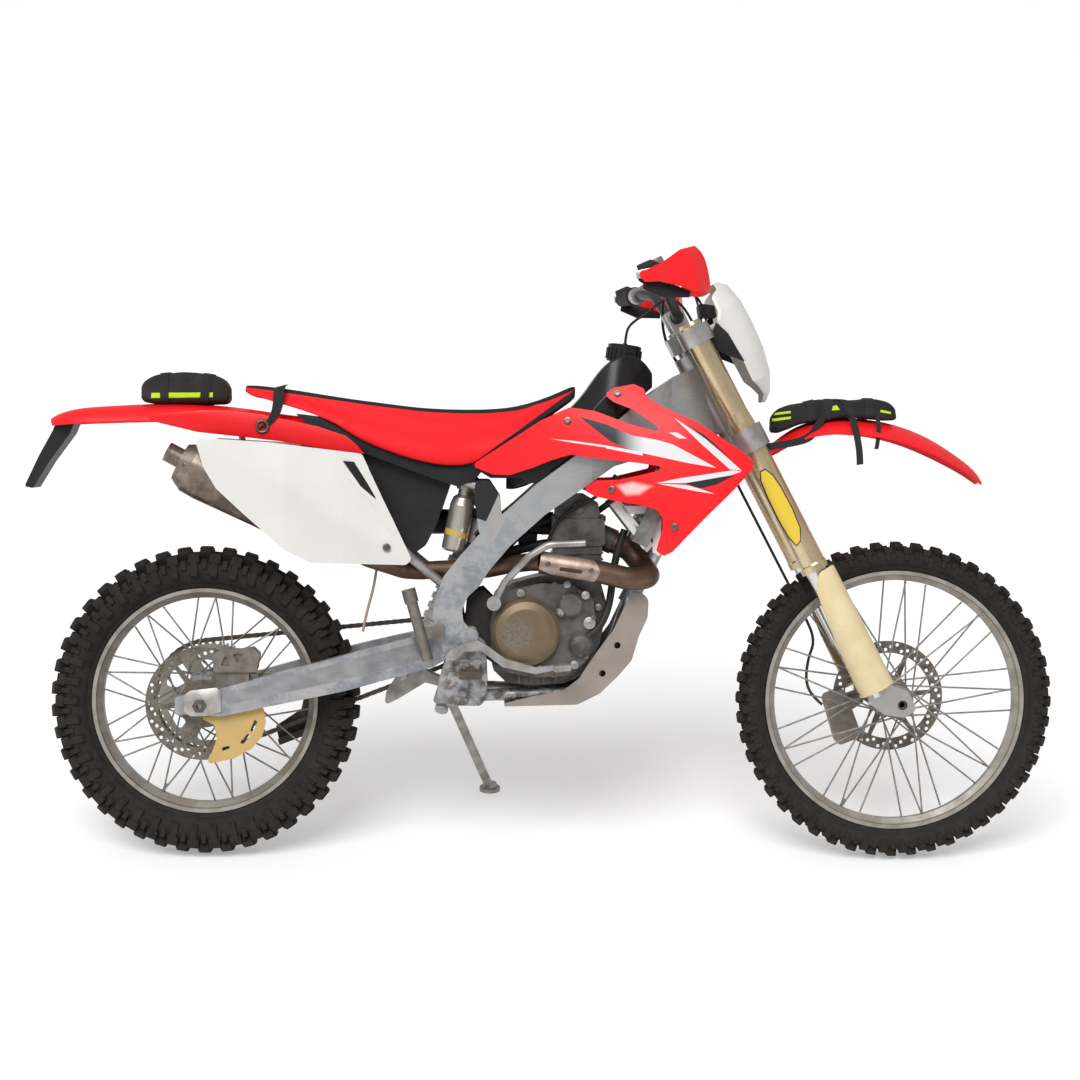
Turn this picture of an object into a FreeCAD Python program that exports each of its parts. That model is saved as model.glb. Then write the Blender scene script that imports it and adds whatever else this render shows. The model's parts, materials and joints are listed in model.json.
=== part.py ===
"""Trail motorcycle, parked on its side stand.  All sizes are in millimetres.

The machine is drawn upright, with X forward from the rear axle, Y to the
rider's left and Z up from the ground.  Steered pieces are placed by fork
coordinates: f is the distance ahead of the steering axis, s the distance up
along it from the point level with the front axle.  The finished machine is
leaned over to its left and moved so that its origin lies on the ground under
the middle of its box.
"""
import FreeCAD, Part
import math
import os

V = FreeCAD.Vector

# Stance
WHEELBASE = 1481.0
FRONT_AXLE_HEIGHT = 341.0
REAR_AXLE_HEIGHT = 330.0
RAKE = math.radians(27.9)
TRAIL = 113.0
LEAN = math.radians(12.0)
SEAT_GAP = 0.3

# Wheels
FRONT_TYRE_RADIUS = 341.0
REAR_TYRE_RADIUS = 330.0
FRONT_TYRE_WIDTH = 88.0
REAR_TYRE_WIDTH = 114.0
FRONT_RIM_RADIUS = 279.0
REAR_RIM_RADIUS = 241.0
FRONT_RIM_WIDTH = 46.0
REAR_RIM_WIDTH = 58.0
RIM_DEPTH = 21.0
LUG_ROWS = 32
LUG_DEPTH = 15.0
LUG_LENGTH = 28.0
SPOKE_COUNT = 36
SPOKE_RADIUS = 1.9
AXLE_RADIUS = 10.0
AXLE_BORE_RADIUS = 6.0
DISC_RADIUS = 120.0
DISC_THICKNESS = 3.0
DISC_HOLES = 54
DISC_HOLE_RADIUS = 3.8
FRONT_DISC_Y = 67.0
REAR_DISC_Y = -77.0
BEARING_GAP = 0.3

# Fork
LEG_SPACING = 101.0
LEG_OFFSET = 28.0
OUTER_TUBE_RADIUS = 28.5
OUTER_TUBE_TOP_RADIUS = 26.0
INNER_TUBE_RADIUS = 23.5
OUTER_TUBE_BOTTOM = 338.0
OUTER_TUBE_TOP = 924.0
LOWER_CLAMP = (624.0, 672.0)
UPPER_CLAMP = (874.0, 912.0)
CLAMP_WALL = 9.5
STEM_RADIUS = 15.0
HEAD_TUBE_RADIUS = 29.0
LEG_LUG_INNER = 80.0
LEG_LUG_OUTER = 120.0
STEERING_LOCK = 42.0

# Handlebar
BAR_RADIUS = 11.0
BAR_CLAMP_RADIUS = 14.3
BAR_HALF_WIDTH = 405.0
BAR_F = 14.0
BAR_S = 946.0
GRIP_RADIUS = 16.5
GRIP_LENGTH = 122.0
HOSE_RADIUS = 3.2

# Chassis
PIVOT = (564.0, 480.0)
PIVOT_RADIUS = 10.0
SPAR_OUTER = 112.0
SPAR_INNER = 88.0
ARM_OUTER = 118.0
ARM_INNER = 88.0
ARM_FRONT_OUTER = 84.0
ARM_FRONT_INNER = 50.0
SHOCK_TOP = (606.0, 762.0)
SHOCK_BOTTOM = (450.0, 398.0)
CROSS_TUBE_RADIUS = 13.0
DOWN_TUBE_RADIUS = 21.0
CRADLE_RADIUS = 13.0
RAIL_RADIUS = 10.0

# Drive
CHAIN_Y = 75.0
CHAIN_WIDTH = 15.0
CHAIN_HALF_HEIGHT = 6.0
CHAIN_PITCH = 15.875
SPROCKET_TEETH = 48
PINION_TEETH = 13
PINION = (640.0, 486.0)
SPROCKET_THICKNESS = 7.0

# Engine
CRANKCASE_HALF_WIDTH = 62.0
CLUTCH_CENTRE = (684.0, 490.0)
CLUTCH_RADIUS = 71.0
CLUTCH_OUTER = 128.0
CYLINDER_HALF_WIDTH = 52.0

# Exhaust
HEADER_RADIUS = 24.0
PIPE_RADIUS = 19.0
SILENCER_LENGTH = 330.0
SILENCER_HALF_HEIGHT = 58.0
SILENCER_HALF_WIDTH = 42.0
SILENCER_Y = -108.0

# Bodywork
PANEL_THICKNESS = 3.0
FENDER_THICKNESS = 3.5
SKID_WALL = 3.5

# Side stand
STAND_PIVOT = (512.0, 136.0, 338.0)
STAND_AXIS = V(0.178, 0.679, 0.711)
STAND_FOOT = (610.0, 390.0)
STAND_RADIUS = 10.0
STAND_EYE_RADIUS = 16.0
STAND_EYE_HALF = 12.0
STAND_FOOT_RADIUS = 24.0
STAND_FOLD = 100.0

PITCH_RADIUS = CHAIN_PITCH / (2 * math.sin(math.pi / SPROCKET_TEETH))
PINION_RADIUS = CHAIN_PITCH / (2 * math.sin(math.pi / PINION_TEETH))
FORWARD = V(math.cos(RAKE), 0, math.sin(RAKE))
UPWARD = V(-math.sin(RAKE), 0, math.cos(RAKE))
AXLE_OFFSET = FRONT_AXLE_HEIGHT * math.sin(RAKE) - TRAIL * math.cos(RAKE)
FRONT_AXLE = V(WHEELBASE, 0, FRONT_AXLE_HEIGHT)
REAR_AXLE = V(0, 0, REAR_AXLE_HEIGHT)
STEER_FOOT = FRONT_AXLE - FORWARD * AXLE_OFFSET
ACROSS = V(0, 1, 0)


# Geometry helpers

def fork(f, s, y=0.0):
    """Point at fork coordinates."""
    return STEER_FOOT + FORWARD * f + UPWARD * s + ACROSS * y


def fork_of(x, z):
    """Fork coordinates of a side-view point."""
    reach = V(x, 0, z) - STEER_FOOT
    return reach.dot(FORWARD), reach.dot(UPWARD)


def side(points, y=0.0):
    """Side-view (x, z) pairs as points in the plane at y."""
    return [V(x, y, z) for x, z in points]


def polygon_face(points):
    """Flat face inside a closed polygon."""
    return Part.Face(Part.makePolygon(points + [points[0]]))


def side_plate(points, y_low, y_high):
    """Straight-edged side outline, extruded from y_low to y_high."""
    return polygon_face(side(points, y_low)).extrude(V(0, y_high - y_low, 0))


def plan_plate(points, z_low, z_high):
    """Straight-edged plan outline of (x, y) pairs, extruded upward."""
    corners = [V(x, y, z_low) for x, y in points]
    return polygon_face(corners).extrude(V(0, 0, z_high - z_low))


def corner_arc(before, corner, after, radius):
    """Start, middle and end of the arc that rounds one corner."""
    back = before - corner
    ahead = after - corner
    room = 0.47 * min(back.Length, ahead.Length)
    back.normalize()
    ahead.normalize()
    half = back.getAngle(ahead) / 2
    if half > math.radians(89.5):
        return corner, corner, corner
    reach = min(radius / math.tan(half), room)
    fitted = reach * math.tan(half)
    middle = back + ahead
    middle.normalize()
    depth = fitted / math.sin(half) - fitted
    return corner + back * reach, corner + middle * depth, corner + ahead * reach


def rounded_loop(points, radius):
    """Closed wire through a polygon with its corners rounded."""
    count = len(points)
    arcs = [
        corner_arc(points[i - 1], points[i], points[(i + 1) % count], radius)
        for i in range(count)
    ]
    edges = []
    for i, (start, middle, end) in enumerate(arcs):
        if (end - start).Length > 1e-6:
            edges.append(Part.Arc(start, middle, end).toShape())
        following = arcs[(i + 1) % count][0]
        if (following - end).Length > 1e-6:
            edges.append(Part.makeLine(end, following))
    return Part.Wire(edges)


def rounded_plate(points, radius, y_low, y_high):
    """Side outline with rounded corners, extruded from y_low to y_high."""
    face = Part.Face(rounded_loop(side(points, y_low), radius))
    return face.extrude(V(0, y_high - y_low, 0))


def bent_path(points, radius):
    """Open wire of straight runs joined by tangent arcs."""
    edges = []
    last = points[0]
    for i in range(1, len(points) - 1):
        start, middle, end = corner_arc(points[i - 1], points[i], points[i + 1], radius)
        if (start - last).Length > 1e-6:
            edges.append(Part.makeLine(last, start))
        if (end - start).Length > 1e-6:
            edges.append(Part.Arc(start, middle, end).toShape())
        last = end
    edges.append(Part.makeLine(last, points[-1]))
    return Part.Wire(edges)


def tube(points, radius, bend):
    """Round bar bent along a route of points."""
    profile = Part.Wire(Part.makeCircle(radius, points[0], points[1] - points[0]))
    return bent_path(points, bend).makePipeShell([profile], True, False)


def rod(start, end, radius):
    """Straight cylinder between two points."""
    run = end - start
    return Part.makeCylinder(radius, run.Length, start, run)


def cross_rod(point, y_low, y_high, radius):
    """Cylinder across the machine at a side-view point."""
    return rod(V(point[0], y_low, point[1]), V(point[0], y_high, point[1]), radius)


def turned(profile, centre):
    """Solid turned about the Y line through centre, from (radius, y) pairs."""
    corners = [centre + V(0, y, radius) for radius, y in profile]
    return polygon_face(corners).revolve(centre, ACROSS, 360)


def fork_turned(profile, f, y):
    """Solid turned about a line along the steering axis, from (radius, s)."""
    corners = [fork(f + radius, s, y) for radius, s in profile]
    return polygon_face(corners).revolve(fork(f, 0, y), UPWARD, 360)


def fork_plate(points, y_low, y_high, radius=4.0):
    """Outline of (f, s) pairs with rounded corners, extruded across."""
    corners = [fork(f, s, y_low) for f, s in points]
    face = Part.Face(rounded_loop(corners, radius))
    return face.extrude(V(0, y_high - y_low, 0))


def clamp_plate(points, s_low, s_high, radius=12.0):
    """Outline of (f, y) pairs seen along the steering axis, extruded up it."""
    corners = [fork(f, s_low, y) for f, y in points]
    face = Part.Face(rounded_loop(corners, radius))
    return face.extrude(UPWARD * (s_high - s_low))


def mirrored(shape):
    """The same shape on the other side of the machine."""
    return shape.mirror(V(0, 0, 0), ACROSS)


def both_sides(shape):
    """A shape and its mirror image as a list."""
    return [shape, mirrored(shape)]


def fused(shapes):
    """One solid from overlapping shapes, with its seams removed."""
    return shapes[0].multiFuse(shapes[1:]).removeSplitter()


def loft(wires, ruled=False):
    """Solid through closed wires."""
    return Part.makeLoft(wires, True, ruled)


def section(x, half, radius):
    """Rounded closed section at x from the (y, z) pairs of its left half."""
    points = [V(x, y, z) for y, z in half]
    points += [V(x, -y, z) for y, z in reversed(half) if y > 0.01]
    return rounded_loop(points, radius)


def curved_slab(levels, thickness):
    """Upright skin whose plan curve changes with height.

    Each level is a height and its plan curve as (x, y) pairs.  The skin
    grows towards the middle of the machine.
    """
    wires = []
    for height, curve in levels:
        outer = [V(x, y, height) for x, y in curve]
        inner = [V(x, y - math.copysign(thickness, y), height) for x, y in reversed(curve)]
        ring = outer + inner
        wires.append(Part.makePolygon(ring + [ring[0]]))
    return loft(wires, ruled=True)


def arch(point, ahead, half_width, drop, low, high, crown=0.35):
    """Closed arched band across a fender, square to its centre line.

    The band runs from low to high above the fender's surface.
    """
    ahead.normalize()
    up = ahead.cross(ACROSS)
    steps = (-1.0, -0.62, 0.0, 0.62, 1.0)
    falls = (1.0, crown, 0.0, crown, 1.0)
    top = []
    bottom = []
    for step, fall in zip(steps, falls):
        base = point + ACROSS * (step * half_width) - up * (fall * drop)
        top.append(base + up * high)
        bottom.append(base + up * low)
    over = Part.BSplineCurve()
    over.interpolate(top)
    under = Part.BSplineCurve()
    under.interpolate(list(reversed(bottom)))
    edges = [
        over.toShape(),
        Part.makeLine(top[-1], bottom[-1]),
        under.toShape(),
        Part.makeLine(bottom[0], top[0]),
    ]
    return Part.Wire(edges)


def arched_loft(stations, low, high, crown=0.35):
    """Arched skin along a centre line of (x, z, half width, drop) stations."""
    points = [V(x, 0, z) for x, z, _, _ in stations]
    wires = []
    for i, (_, _, half_width, drop) in enumerate(stations):
        ahead = points[min(i + 1, len(points) - 1)] - points[max(i - 1, 0)]
        wires.append(arch(points[i], ahead, half_width, drop, low, high, crown))
    return loft(wires)


# Frame and chassis

SPAR_SIDE = [
    (1046, 1052), (1000, 1034), (930, 985), (860, 925), (784, 861), (703, 801),
    (655, 757), (594, 706), (545, 650), (510, 606), (492, 560), (487, 520),
    (509, 455), (516, 430), (503, 395), (497, 352), (520, 333), (590, 333),
    (604, 352), (602, 400), (600, 468), (577, 484), (552, 511), (549, 535),
    (560, 562), (586, 587), (604, 617), (649, 671), (722, 737), (790, 785),
    (867, 840), (960, 868), (1040, 893), (1088, 912),
]
SPAR_PLAN = [
    (1100, -24), (1040, -38), (990, -50), (900, -92), (820, -108),
    (700, -SPAR_OUTER), (470, -SPAR_OUTER), (470, -SPAR_INNER),
    (680, -SPAR_INNER), (800, -80), (880, -62), (955, -26), (1000, 0), (1100, 0),
]
HEAD_TUBE = (LOWER_CLAMP[1] + 12, UPPER_CLAMP[0] - 10)
RAIL_TAB = (590.0, 792.0)


def main_frame():
    """Twin spars, head tube, down tube and cradle as one welded piece."""
    spar = rounded_plate(SPAR_SIDE, 14, -SPAR_OUTER, 0)
    spar = spar.common(plan_plate(SPAR_PLAN, 300, 1100))
    tower = rounded_plate(
        [(584, 690), (632, 722), (628, 772), (604, 808), (576, 808), (572, 780)],
        8, -SPAR_OUTER + 2, -SPAR_OUTER + 16,
    )
    rail = tube(
        [V(905, -10, 552), V(884, -46, 478), V(838, -64, 394), V(792, -68, 357),
         V(640, -70, 353), V(552, -92, 353)],
        CRADLE_RADIUS, 60,
    )
    peg_block = rounded_plate(
        [(545, 392), (592, 392), (592, 432), (545, 432)], 6, -SPAR_OUTER - 14, -SPAR_OUTER + 4
    )
    sides = []
    for piece in (spar, tower, rail, peg_block):
        sides += both_sides(piece)
    head = rod(fork(0, HEAD_TUBE[0]), fork(0, HEAD_TUBE[1]), HEAD_TUBE_RADIUS)
    down = tube([V(1078, 0, 912), V(1002, 0, 742), V(902, 0, 545)], DOWN_TUBE_RADIUS, 120)
    tower_tube = cross_rod(SHOCK_TOP, -SPAR_OUTER + 2, SPAR_OUTER - 2, CROSS_TUBE_RADIUS)
    low_tube = cross_rod((540, 362), -SPAR_OUTER, SPAR_OUTER, CROSS_TUBE_RADIUS)
    pivot_bolt = cross_rod(PIVOT, -SPAR_OUTER - 4, SPAR_OUTER + 4, PIVOT_RADIUS)
    pivot_heads = [
        cross_rod(PIVOT, -SPAR_OUTER - 9, -SPAR_OUTER + 2, 19),
        cross_rod(PIVOT, SPAR_OUTER - 2, SPAR_OUTER + 9, 17),
    ]
    cooler_bar = cross_rod(COOLER_BAR, -COOLER_INNER + SEAT_GAP, COOLER_INNER - SEAT_GAP, 7)
    x, z = COOLER_BAR
    cooler_web = side_plate([(x, z - 7), (x + 52, z - 24), (x + 60, z + 14), (x, z + 7)], -4, 4)
    for x in (670, 770):
        sides += both_sides(rod(V(x, 70, 352), V(x, 70, skid_floor(x) + 2 * SEAT_GAP), 9))
    body = fused(sides + [head, down, tower_tube, low_tube, pivot_bolt, stand_lug(),
                          cooler_bar, cooler_web] + pivot_heads)
    sweep = rod(fork(0, HEAD_TUBE[0] - 90), fork(0, HEAD_TUBE[0] - 5), 56)
    body = body.cut(sweep)
    stem_bore = rod(fork(0, HEAD_TUBE[0] - 5), fork(0, HEAD_TUBE[1] + 5), STEM_RADIUS + BEARING_GAP)
    return body.cut(stem_bore)


def stand_lug():
    """Boss on the left pivot plate that carries the side stand."""
    seat = V(*STAND_PIVOT) - STAND_AXIS * (STAND_EYE_HALF + SEAT_GAP)
    boss = rod(seat - STAND_AXIS * 44, seat, STAND_EYE_RADIUS - 1)
    web = rounded_plate([(482, 314), (536, 314), (566, 345), (500, 370)], 8, SPAR_INNER, SPAR_OUTER)
    return fused([boss, web])


COOLER_BAR = (966.0, 766.0)
COOLER_INNER = 48.0
COOLER_OUTER = 148.0
LOUVRES = 12
UPPER_RAIL = [
    (RAIL_TAB[0], -84, RAIL_TAB[1]), (500, -84, 822), (430, -84, 847),
    (342, -84, 880), (230, -80, 912), (130, -64, 922), (60, -58, 922),
]
LOWER_RAIL = [(522, -77, 576), (443, -78, 639), (330, -82, 760), (232, -80, 906)]


def subframe():
    """Bolted rear frame of round tubes."""
    upper = tube([V(*p) for p in UPPER_RAIL], RAIL_RADIUS, 80)
    lower = tube([V(*p) for p in LOWER_RAIL], RAIL_RADIUS, 80)
    x, y, z = UPPER_RAIL[0]
    upper_ear = rod(V(x, -SPAR_OUTER + 16 + SEAT_GAP, z), V(x, y + 8, z), RAIL_RADIUS + 2)
    x, y, z = LOWER_RAIL[0]
    lower_ear = rod(V(x, -SPAR_INNER + SEAT_GAP, z), V(x, y + 8, z), RAIL_RADIUS + 2)
    pieces = []
    for piece in (upper, lower, upper_ear, lower_ear):
        pieces += both_sides(piece)
    posts = [rod(V(x, -82, z), V(x, panel_inner(x) + SEAT_GAP, z), 7)
             for x, z in ((330, 760), (288, 824))]
    panel = curved_slab(((600, PANEL_CURVE), (920, PANEL_CURVE)), PANEL_THICKNESS)
    panel.translate(V(0, SEAT_GAP, 0))
    for post in posts:
        pieces += both_sides(post.cut(panel))
    rear_bar = rod(V(64, -58, 922), V(64, 58, 922), RAIL_RADIUS)
    mid_bar = rod(V(230, -80, 911), V(230, 80, 911), RAIL_RADIUS - 1)
    for x, y, z in ((84, 58, 922), (200, 74, 914)):
        pieces += both_sides(rod(V(x, y, z), V(x, y, z + 40), 7))
    body = fused(pieces + [rear_bar, mid_bar])
    body = body.cut(arched_loft(REAR_FENDER, -FENDER_THICKNESS - 2 * SEAT_GAP, 90, 0.12))
    can = silencer()
    can.translate(V(0, SEAT_GAP, 0))
    hanger = fused([rod(V(80, -60, 914), V(84, -60, 800), 7), rod(V(84, -58, 800), V(84, -80, 800), 10)])
    return fused([body, hanger.cut(can)])


def curve_at(curve, x):
    """Second value of a polyline of pairs at x."""
    for (x0, y0), (x1, y1) in zip(curve, curve[1:]):
        if x0 <= x <= x1:
            return y0 + (y1 - y0) * (x - x0) / (x1 - x0)
    raise ValueError("outside the curve")


def panel_inner(x):
    """Inner face of the right side panel at x."""
    return curve_at(PANEL_CURVE, x) + PANEL_THICKNESS


ARM_SIDE = [
    (-52, 348), (36, 364), (300, 438), (482, 484), (548, 500), (576, 498),
    (586, 480), (574, 461), (487, 411), (300, 362), (45, 308), (-52, 312),
]
ARM_PLAN = [
    (-60, -ARM_OUTER), (330, -ARM_OUTER), (480, -ARM_FRONT_OUTER), (600, -ARM_FRONT_OUTER),
    (600, -ARM_FRONT_INNER), (480, -ARM_FRONT_INNER), (386, -ARM_INNER + 6), (340, -ARM_INNER),
    (-60, -ARM_INNER),
]


def swingarm():
    """Two tapered box arms with a cross-member ahead of the tyre."""
    arm = rounded_plate(ARM_SIDE, 8, -ARM_OUTER - 5, 0)
    arm = arm.common(plan_plate(ARM_PLAN, 250, 560))
    bridge = rounded_plate(
        [(392, 404), (428, 416), (426, 458), (398, 452)], 7, -ARM_INNER - 5, ARM_INNER + 5
    )
    boss = cross_rod(PIVOT, -SPAR_INNER + SEAT_GAP, -ARM_FRONT_INNER, 19)
    link_ears = rounded_plate([(398, 410), (424, 418), (432, 382), (412, 370)], 6, -33, -23.3)
    body = fused(both_sides(arm) + both_sides(boss) + both_sides(link_ears) + [bridge])
    for point, radius in ((PIVOT, PIVOT_RADIUS), ((0, REAR_AXLE_HEIGHT), AXLE_RADIUS)):
        body = body.cut(cross_rod(point, -140, 140, radius + BEARING_GAP))
    return body


def rear_axle():
    """Spindle with a head and a nut outside the swingarm."""
    spindle = cross_rod((0, REAR_AXLE_HEIGHT), -ARM_OUTER - 3, ARM_OUTER + 3, AXLE_RADIUS)
    head = hexagon(REAR_AXLE, 15, -ARM_OUTER - 13, -ARM_OUTER - SEAT_GAP)
    nut = hexagon(REAR_AXLE, 16, ARM_OUTER + SEAT_GAP, ARM_OUTER + 14)
    bore = cross_rod((0, REAR_AXLE_HEIGHT), -ARM_OUTER - 20, ARM_OUTER + 20, AXLE_BORE_RADIUS)
    return fused([spindle, head, nut]).cut(bore)


def hexagon(centre, radius, y_low, y_high):
    """Hexagonal prism across the machine."""
    corners = []
    for i in range(6):
        angle = math.radians(60 * i)
        corners.append((centre.x + radius * math.cos(angle), centre.z + radius * math.sin(angle)))
    return side_plate(corners, y_low, y_high)


def shock_point(share, y=0.0):
    """Point along the shock's axis, 0 at its lower eye and 1 at its upper."""
    low = V(SHOCK_BOTTOM[0], y, SHOCK_BOTTOM[1])
    high = V(SHOCK_TOP[0], y, SHOCK_TOP[1])
    return low + (high - low) * share


def shock_absorber():
    """Damper with its coil spring and the reservoir beside it."""
    low = shock_point(0)
    axis = shock_point(1) - low
    length = axis.Length
    axis.normalize()
    out = axis.cross(ACROSS)
    profile = [(0, 16), (15, 16), (15, 60), (33, 66)]
    coils = 9
    top = length - 130
    for i in range(coils):
        base = 70 + (top - 70) * i / coils
        rise = (top - 70) / coils
        profile += [(34, base), (34, base + rise * 0.55), (29, base + rise * 0.6),
                    (29, base + rise * 0.95)]
    profile += [(33, top + 2), (33, top + 12), (24, top + 14), (24, length - 30), (0, length - 30)]
    corners = [low + out * radius + axis * along for radius, along in profile]
    damper = polygon_face(corners).revolve(low, axis, 360)
    upper_eye = cross_rod(SHOCK_TOP, -15, 15, CROSS_TUBE_RADIUS + 10)
    lower_eye = cross_rod(SHOCK_BOTTOM, -13, 13, 18)
    neck = rod(low + axis * (length - 40), low + axis * (length - 18), 15)
    body = fused([damper, upper_eye, lower_eye, neck])
    body = body.cut(cross_rod(SHOCK_TOP, -40, 40, CROSS_TUBE_RADIUS + BEARING_GAP))
    body = body.cut(cross_rod(SHOCK_BOTTOM, -40, 40, 7 + BEARING_GAP))
    return body


def reservoir():
    """Gas reservoir of the shock, beside the airbox."""
    low = V(528, -44, 655)
    high = V(556, -44, 800)
    axis = high - low
    length = axis.Length
    axis.normalize()
    out = axis.cross(ACROSS)
    profile = [(0, 0), (22, 0), (26, 5), (26, 100), (22, 116), (14, 122), (14, 132),
               (19, 134), (19, length), (0, length)]
    corners = [low + out * radius + axis * along for radius, along in profile]
    body = polygon_face(corners).revolve(low, axis, 360)
    arm = rod(low + axis * (length - 12), V(594, -10, 742), 9)
    body = fused([body, arm])
    damper = rod(shock_point(0.4), shock_point(1.05), 24 + SEAT_GAP)
    return body.cut(damper).cut(cross_rod(SHOCK_TOP, -15.3, 15.3, CROSS_TUBE_RADIUS + 10.3))


def linkage():
    """Rocker plates and their pins under the swingarm."""
    outline = [(383, 322), (412, 336), (470, 372), (516, 360), (520, 376), (474, 396),
               (462, 414), (440, 412), (410, 388), (386, 350)]
    plate = rounded_plate(outline, 6, -23, -17)
    pins = [
        cross_rod(SHOCK_BOTTOM, -18, 18, 7),
        cross_rod((400, 348), -18, 18, 7),
        cross_rod((508, 369), -18, 18, 7),
    ]
    return fused(both_sides(plate) + pins)


# Engine

INLET = (716.0, 715.0)
PORT = V(872, -16, 676)
PORT_COURSE = V(0.91, -0.114, -0.398)
BOOT_Y = 56.0
KICK_SHAFT = (616.0, 551.0)
CRANKCASE_SIDE = [
    (616, 404), (644, 377), (700, 371), (768, 377), (812, 404), (842, 462),
    (858, 540), (842, 596), (790, 616), (716, 606), (656, 590), (618, 566),
    (606, 524), (606, 446),
]


CASE_BOLTS = [
    (620, 430), (656, 407), (742, 399), (812, 438), (826, 520), (812, 566), (744, 590),
]


def crankcase():
    """Engine block with its side cases and the gearbox."""
    block = rounded_plate(CRANKCASE_SIDE, 14, -CRANKCASE_HALF_WIDTH, CRANKCASE_HALF_WIDTH)
    right_case = rounded_plate(
        [(612, 440), (640, 404), (700, 392), (770, 396), (812, 428), (832, 500), (826, 560),
         (780, 590), (716, 592), (650, 578), (618, 556), (608, 500)],
        16, -98, -CRANKCASE_HALF_WIDTH + 1,
    )
    pump = turned([(0, -97), (26, -97), (26, -106), (20, -112), (9, -114), (9, -120), (0, -120)],
                  V(800, 0, 462))
    flywheel = turned([(0, CRANKCASE_HALF_WIDTH - 1), (66, CRANKCASE_HALF_WIDTH - 1), (66, 90),
                       (58, 98), (46, 98), (44, 106), (0, 106)], V(762, 0, 482))
    kick_boss = cross_rod(KICK_SHAFT, -118, -97, 14)
    bosses = [cross_rod(spot, -102, -90, 6) for spot in CASE_BOLTS]
    for i in range(5):
        angle = math.radians(72 * i + 20)
        spot = (762 + 61 * math.cos(angle), 482 + 61 * math.sin(angle))
        bosses.append(cross_rod(spot, CRANKCASE_HALF_WIDTH - 1, 100, 6))
    ribs = [side_plate([(x, 378), (x + 5, 378), (x + 5, 402), (x, 402)], -84, 84)
            for x in (668, 694, 720, 746)]
    filter_cover = turned([(0, -97), (27, -97), (27, -108), (22, -113), (0, -113)], V(778, 0, 548))
    return fused([block, right_case, pump, flywheel, kick_boss, filter_cover] + bosses + ribs)


def pinion():
    """Output sprocket on the left of the gearbox."""
    centre = V(PINION[0], 0, PINION[1])
    low = CHAIN_Y - SPROCKET_THICKNESS / 2
    wheel = toothed_disc(centre, PINION_RADIUS - 1.8, PINION_TEETH, low, low + SPROCKET_THICKNESS)
    shaft = cross_rod(PINION, CRANKCASE_HALF_WIDTH + SEAT_GAP, low + SPROCKET_THICKNESS + 5, 11)
    return fused([wheel, shaft])


def clutch_cover():
    """Round cover of the clutch with a stepped rim."""
    x, z = CLUTCH_CENTRE
    centre = V(x, 0, z)
    base = -98 - SEAT_GAP
    radius = CLUTCH_RADIUS
    profile = [(0, base), (radius, base), (radius, -116), (radius - 7, -123),
               (radius - 16, -CLUTCH_OUTER + 2), (radius - 22, -CLUTCH_OUTER), (0, -CLUTCH_OUTER)]
    return turned(profile, centre)


def cylinder():
    """Barrel, head and cam cover, with the inlet and exhaust ports."""
    w = CYLINDER_HALF_WIDTH
    barrel = rounded_plate([(742, 600), (842, 606), (846, 672), (740, 668)], 8, -w, w)
    head = rounded_plate([(736, 666), (852, 671), (850, 728), (738, 726)], 8, -w - 6, w + 6)
    cover = rounded_plate(
        [(744, 724), (842, 726), (836, 762), (806, 780), (768, 778), (746, 758)], 10, -w + 2, w - 2
    )
    inlet = rod(V(742, 0, INLET[1]), V(INLET[0], 0, INLET[1]), 25)
    exhaust = rod(PORT - PORT_COURSE * 34, PORT, HEADER_RADIUS + 3)
    ribs = [rounded_plate([(738, z), (848, z + 3), (848, z + 7), (738, z + 4)], 1.5, -w - 4, w + 4)
            for z in (622, 636, 650)]
    nuts = [rod(V(x, y, 722), V(x, y, 734), 7) for x in (742, 846) for y in (-46, 46)]
    plug = turned([(0, -w + 3), (13, -w + 3), (13, -w - 6), (8, -w - 8), (0, -w - 8)], V(794, 0, 752))
    body = fused([barrel, head, cover, inlet, exhaust, plug] + ribs + nuts)
    return body.cut(crankcase())


def carburettor():
    """Carburettor and the rubber boot back to the airbox."""
    x, z = INLET
    body = rod(V(x - SEAT_GAP, 0, z), V(x - 52, 0, z), 24)
    bowl = rounded_plate([(x - 48, z - 50), (x - 10, z - 50), (x - 6, z + 4), (x - 52, z + 4)],
                         6, -26, 26)
    top = rod(V(x - 28, 0, z), V(x - 30, 0, z + 46), 20)
    boot = tube([V(x - 44, 0, z), V(x - 74, 20, z), V(x - 104, BOOT_Y, z), V(552, BOOT_Y, z)],
                23, 30)
    return fused([body, bowl, top, boot])


AIRBOX_SIDE = [
    (200, 888), (250, 786), (340, 706), (434, 642), (470, 668), (494, 716), (528, 818),
    (500, 826), (430, 838), (396, 850), (330, 878), (262, 890),
]


def airbox():
    """Air filter box between the rails."""
    box = rounded_plate(AIRBOX_SIDE, 10, -66, 66)
    mouth = rod(V(480, BOOT_Y, INLET[1]), V(552 - SEAT_GAP, BOOT_Y, INLET[1]), 27)
    return fused([box, mouth])


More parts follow.
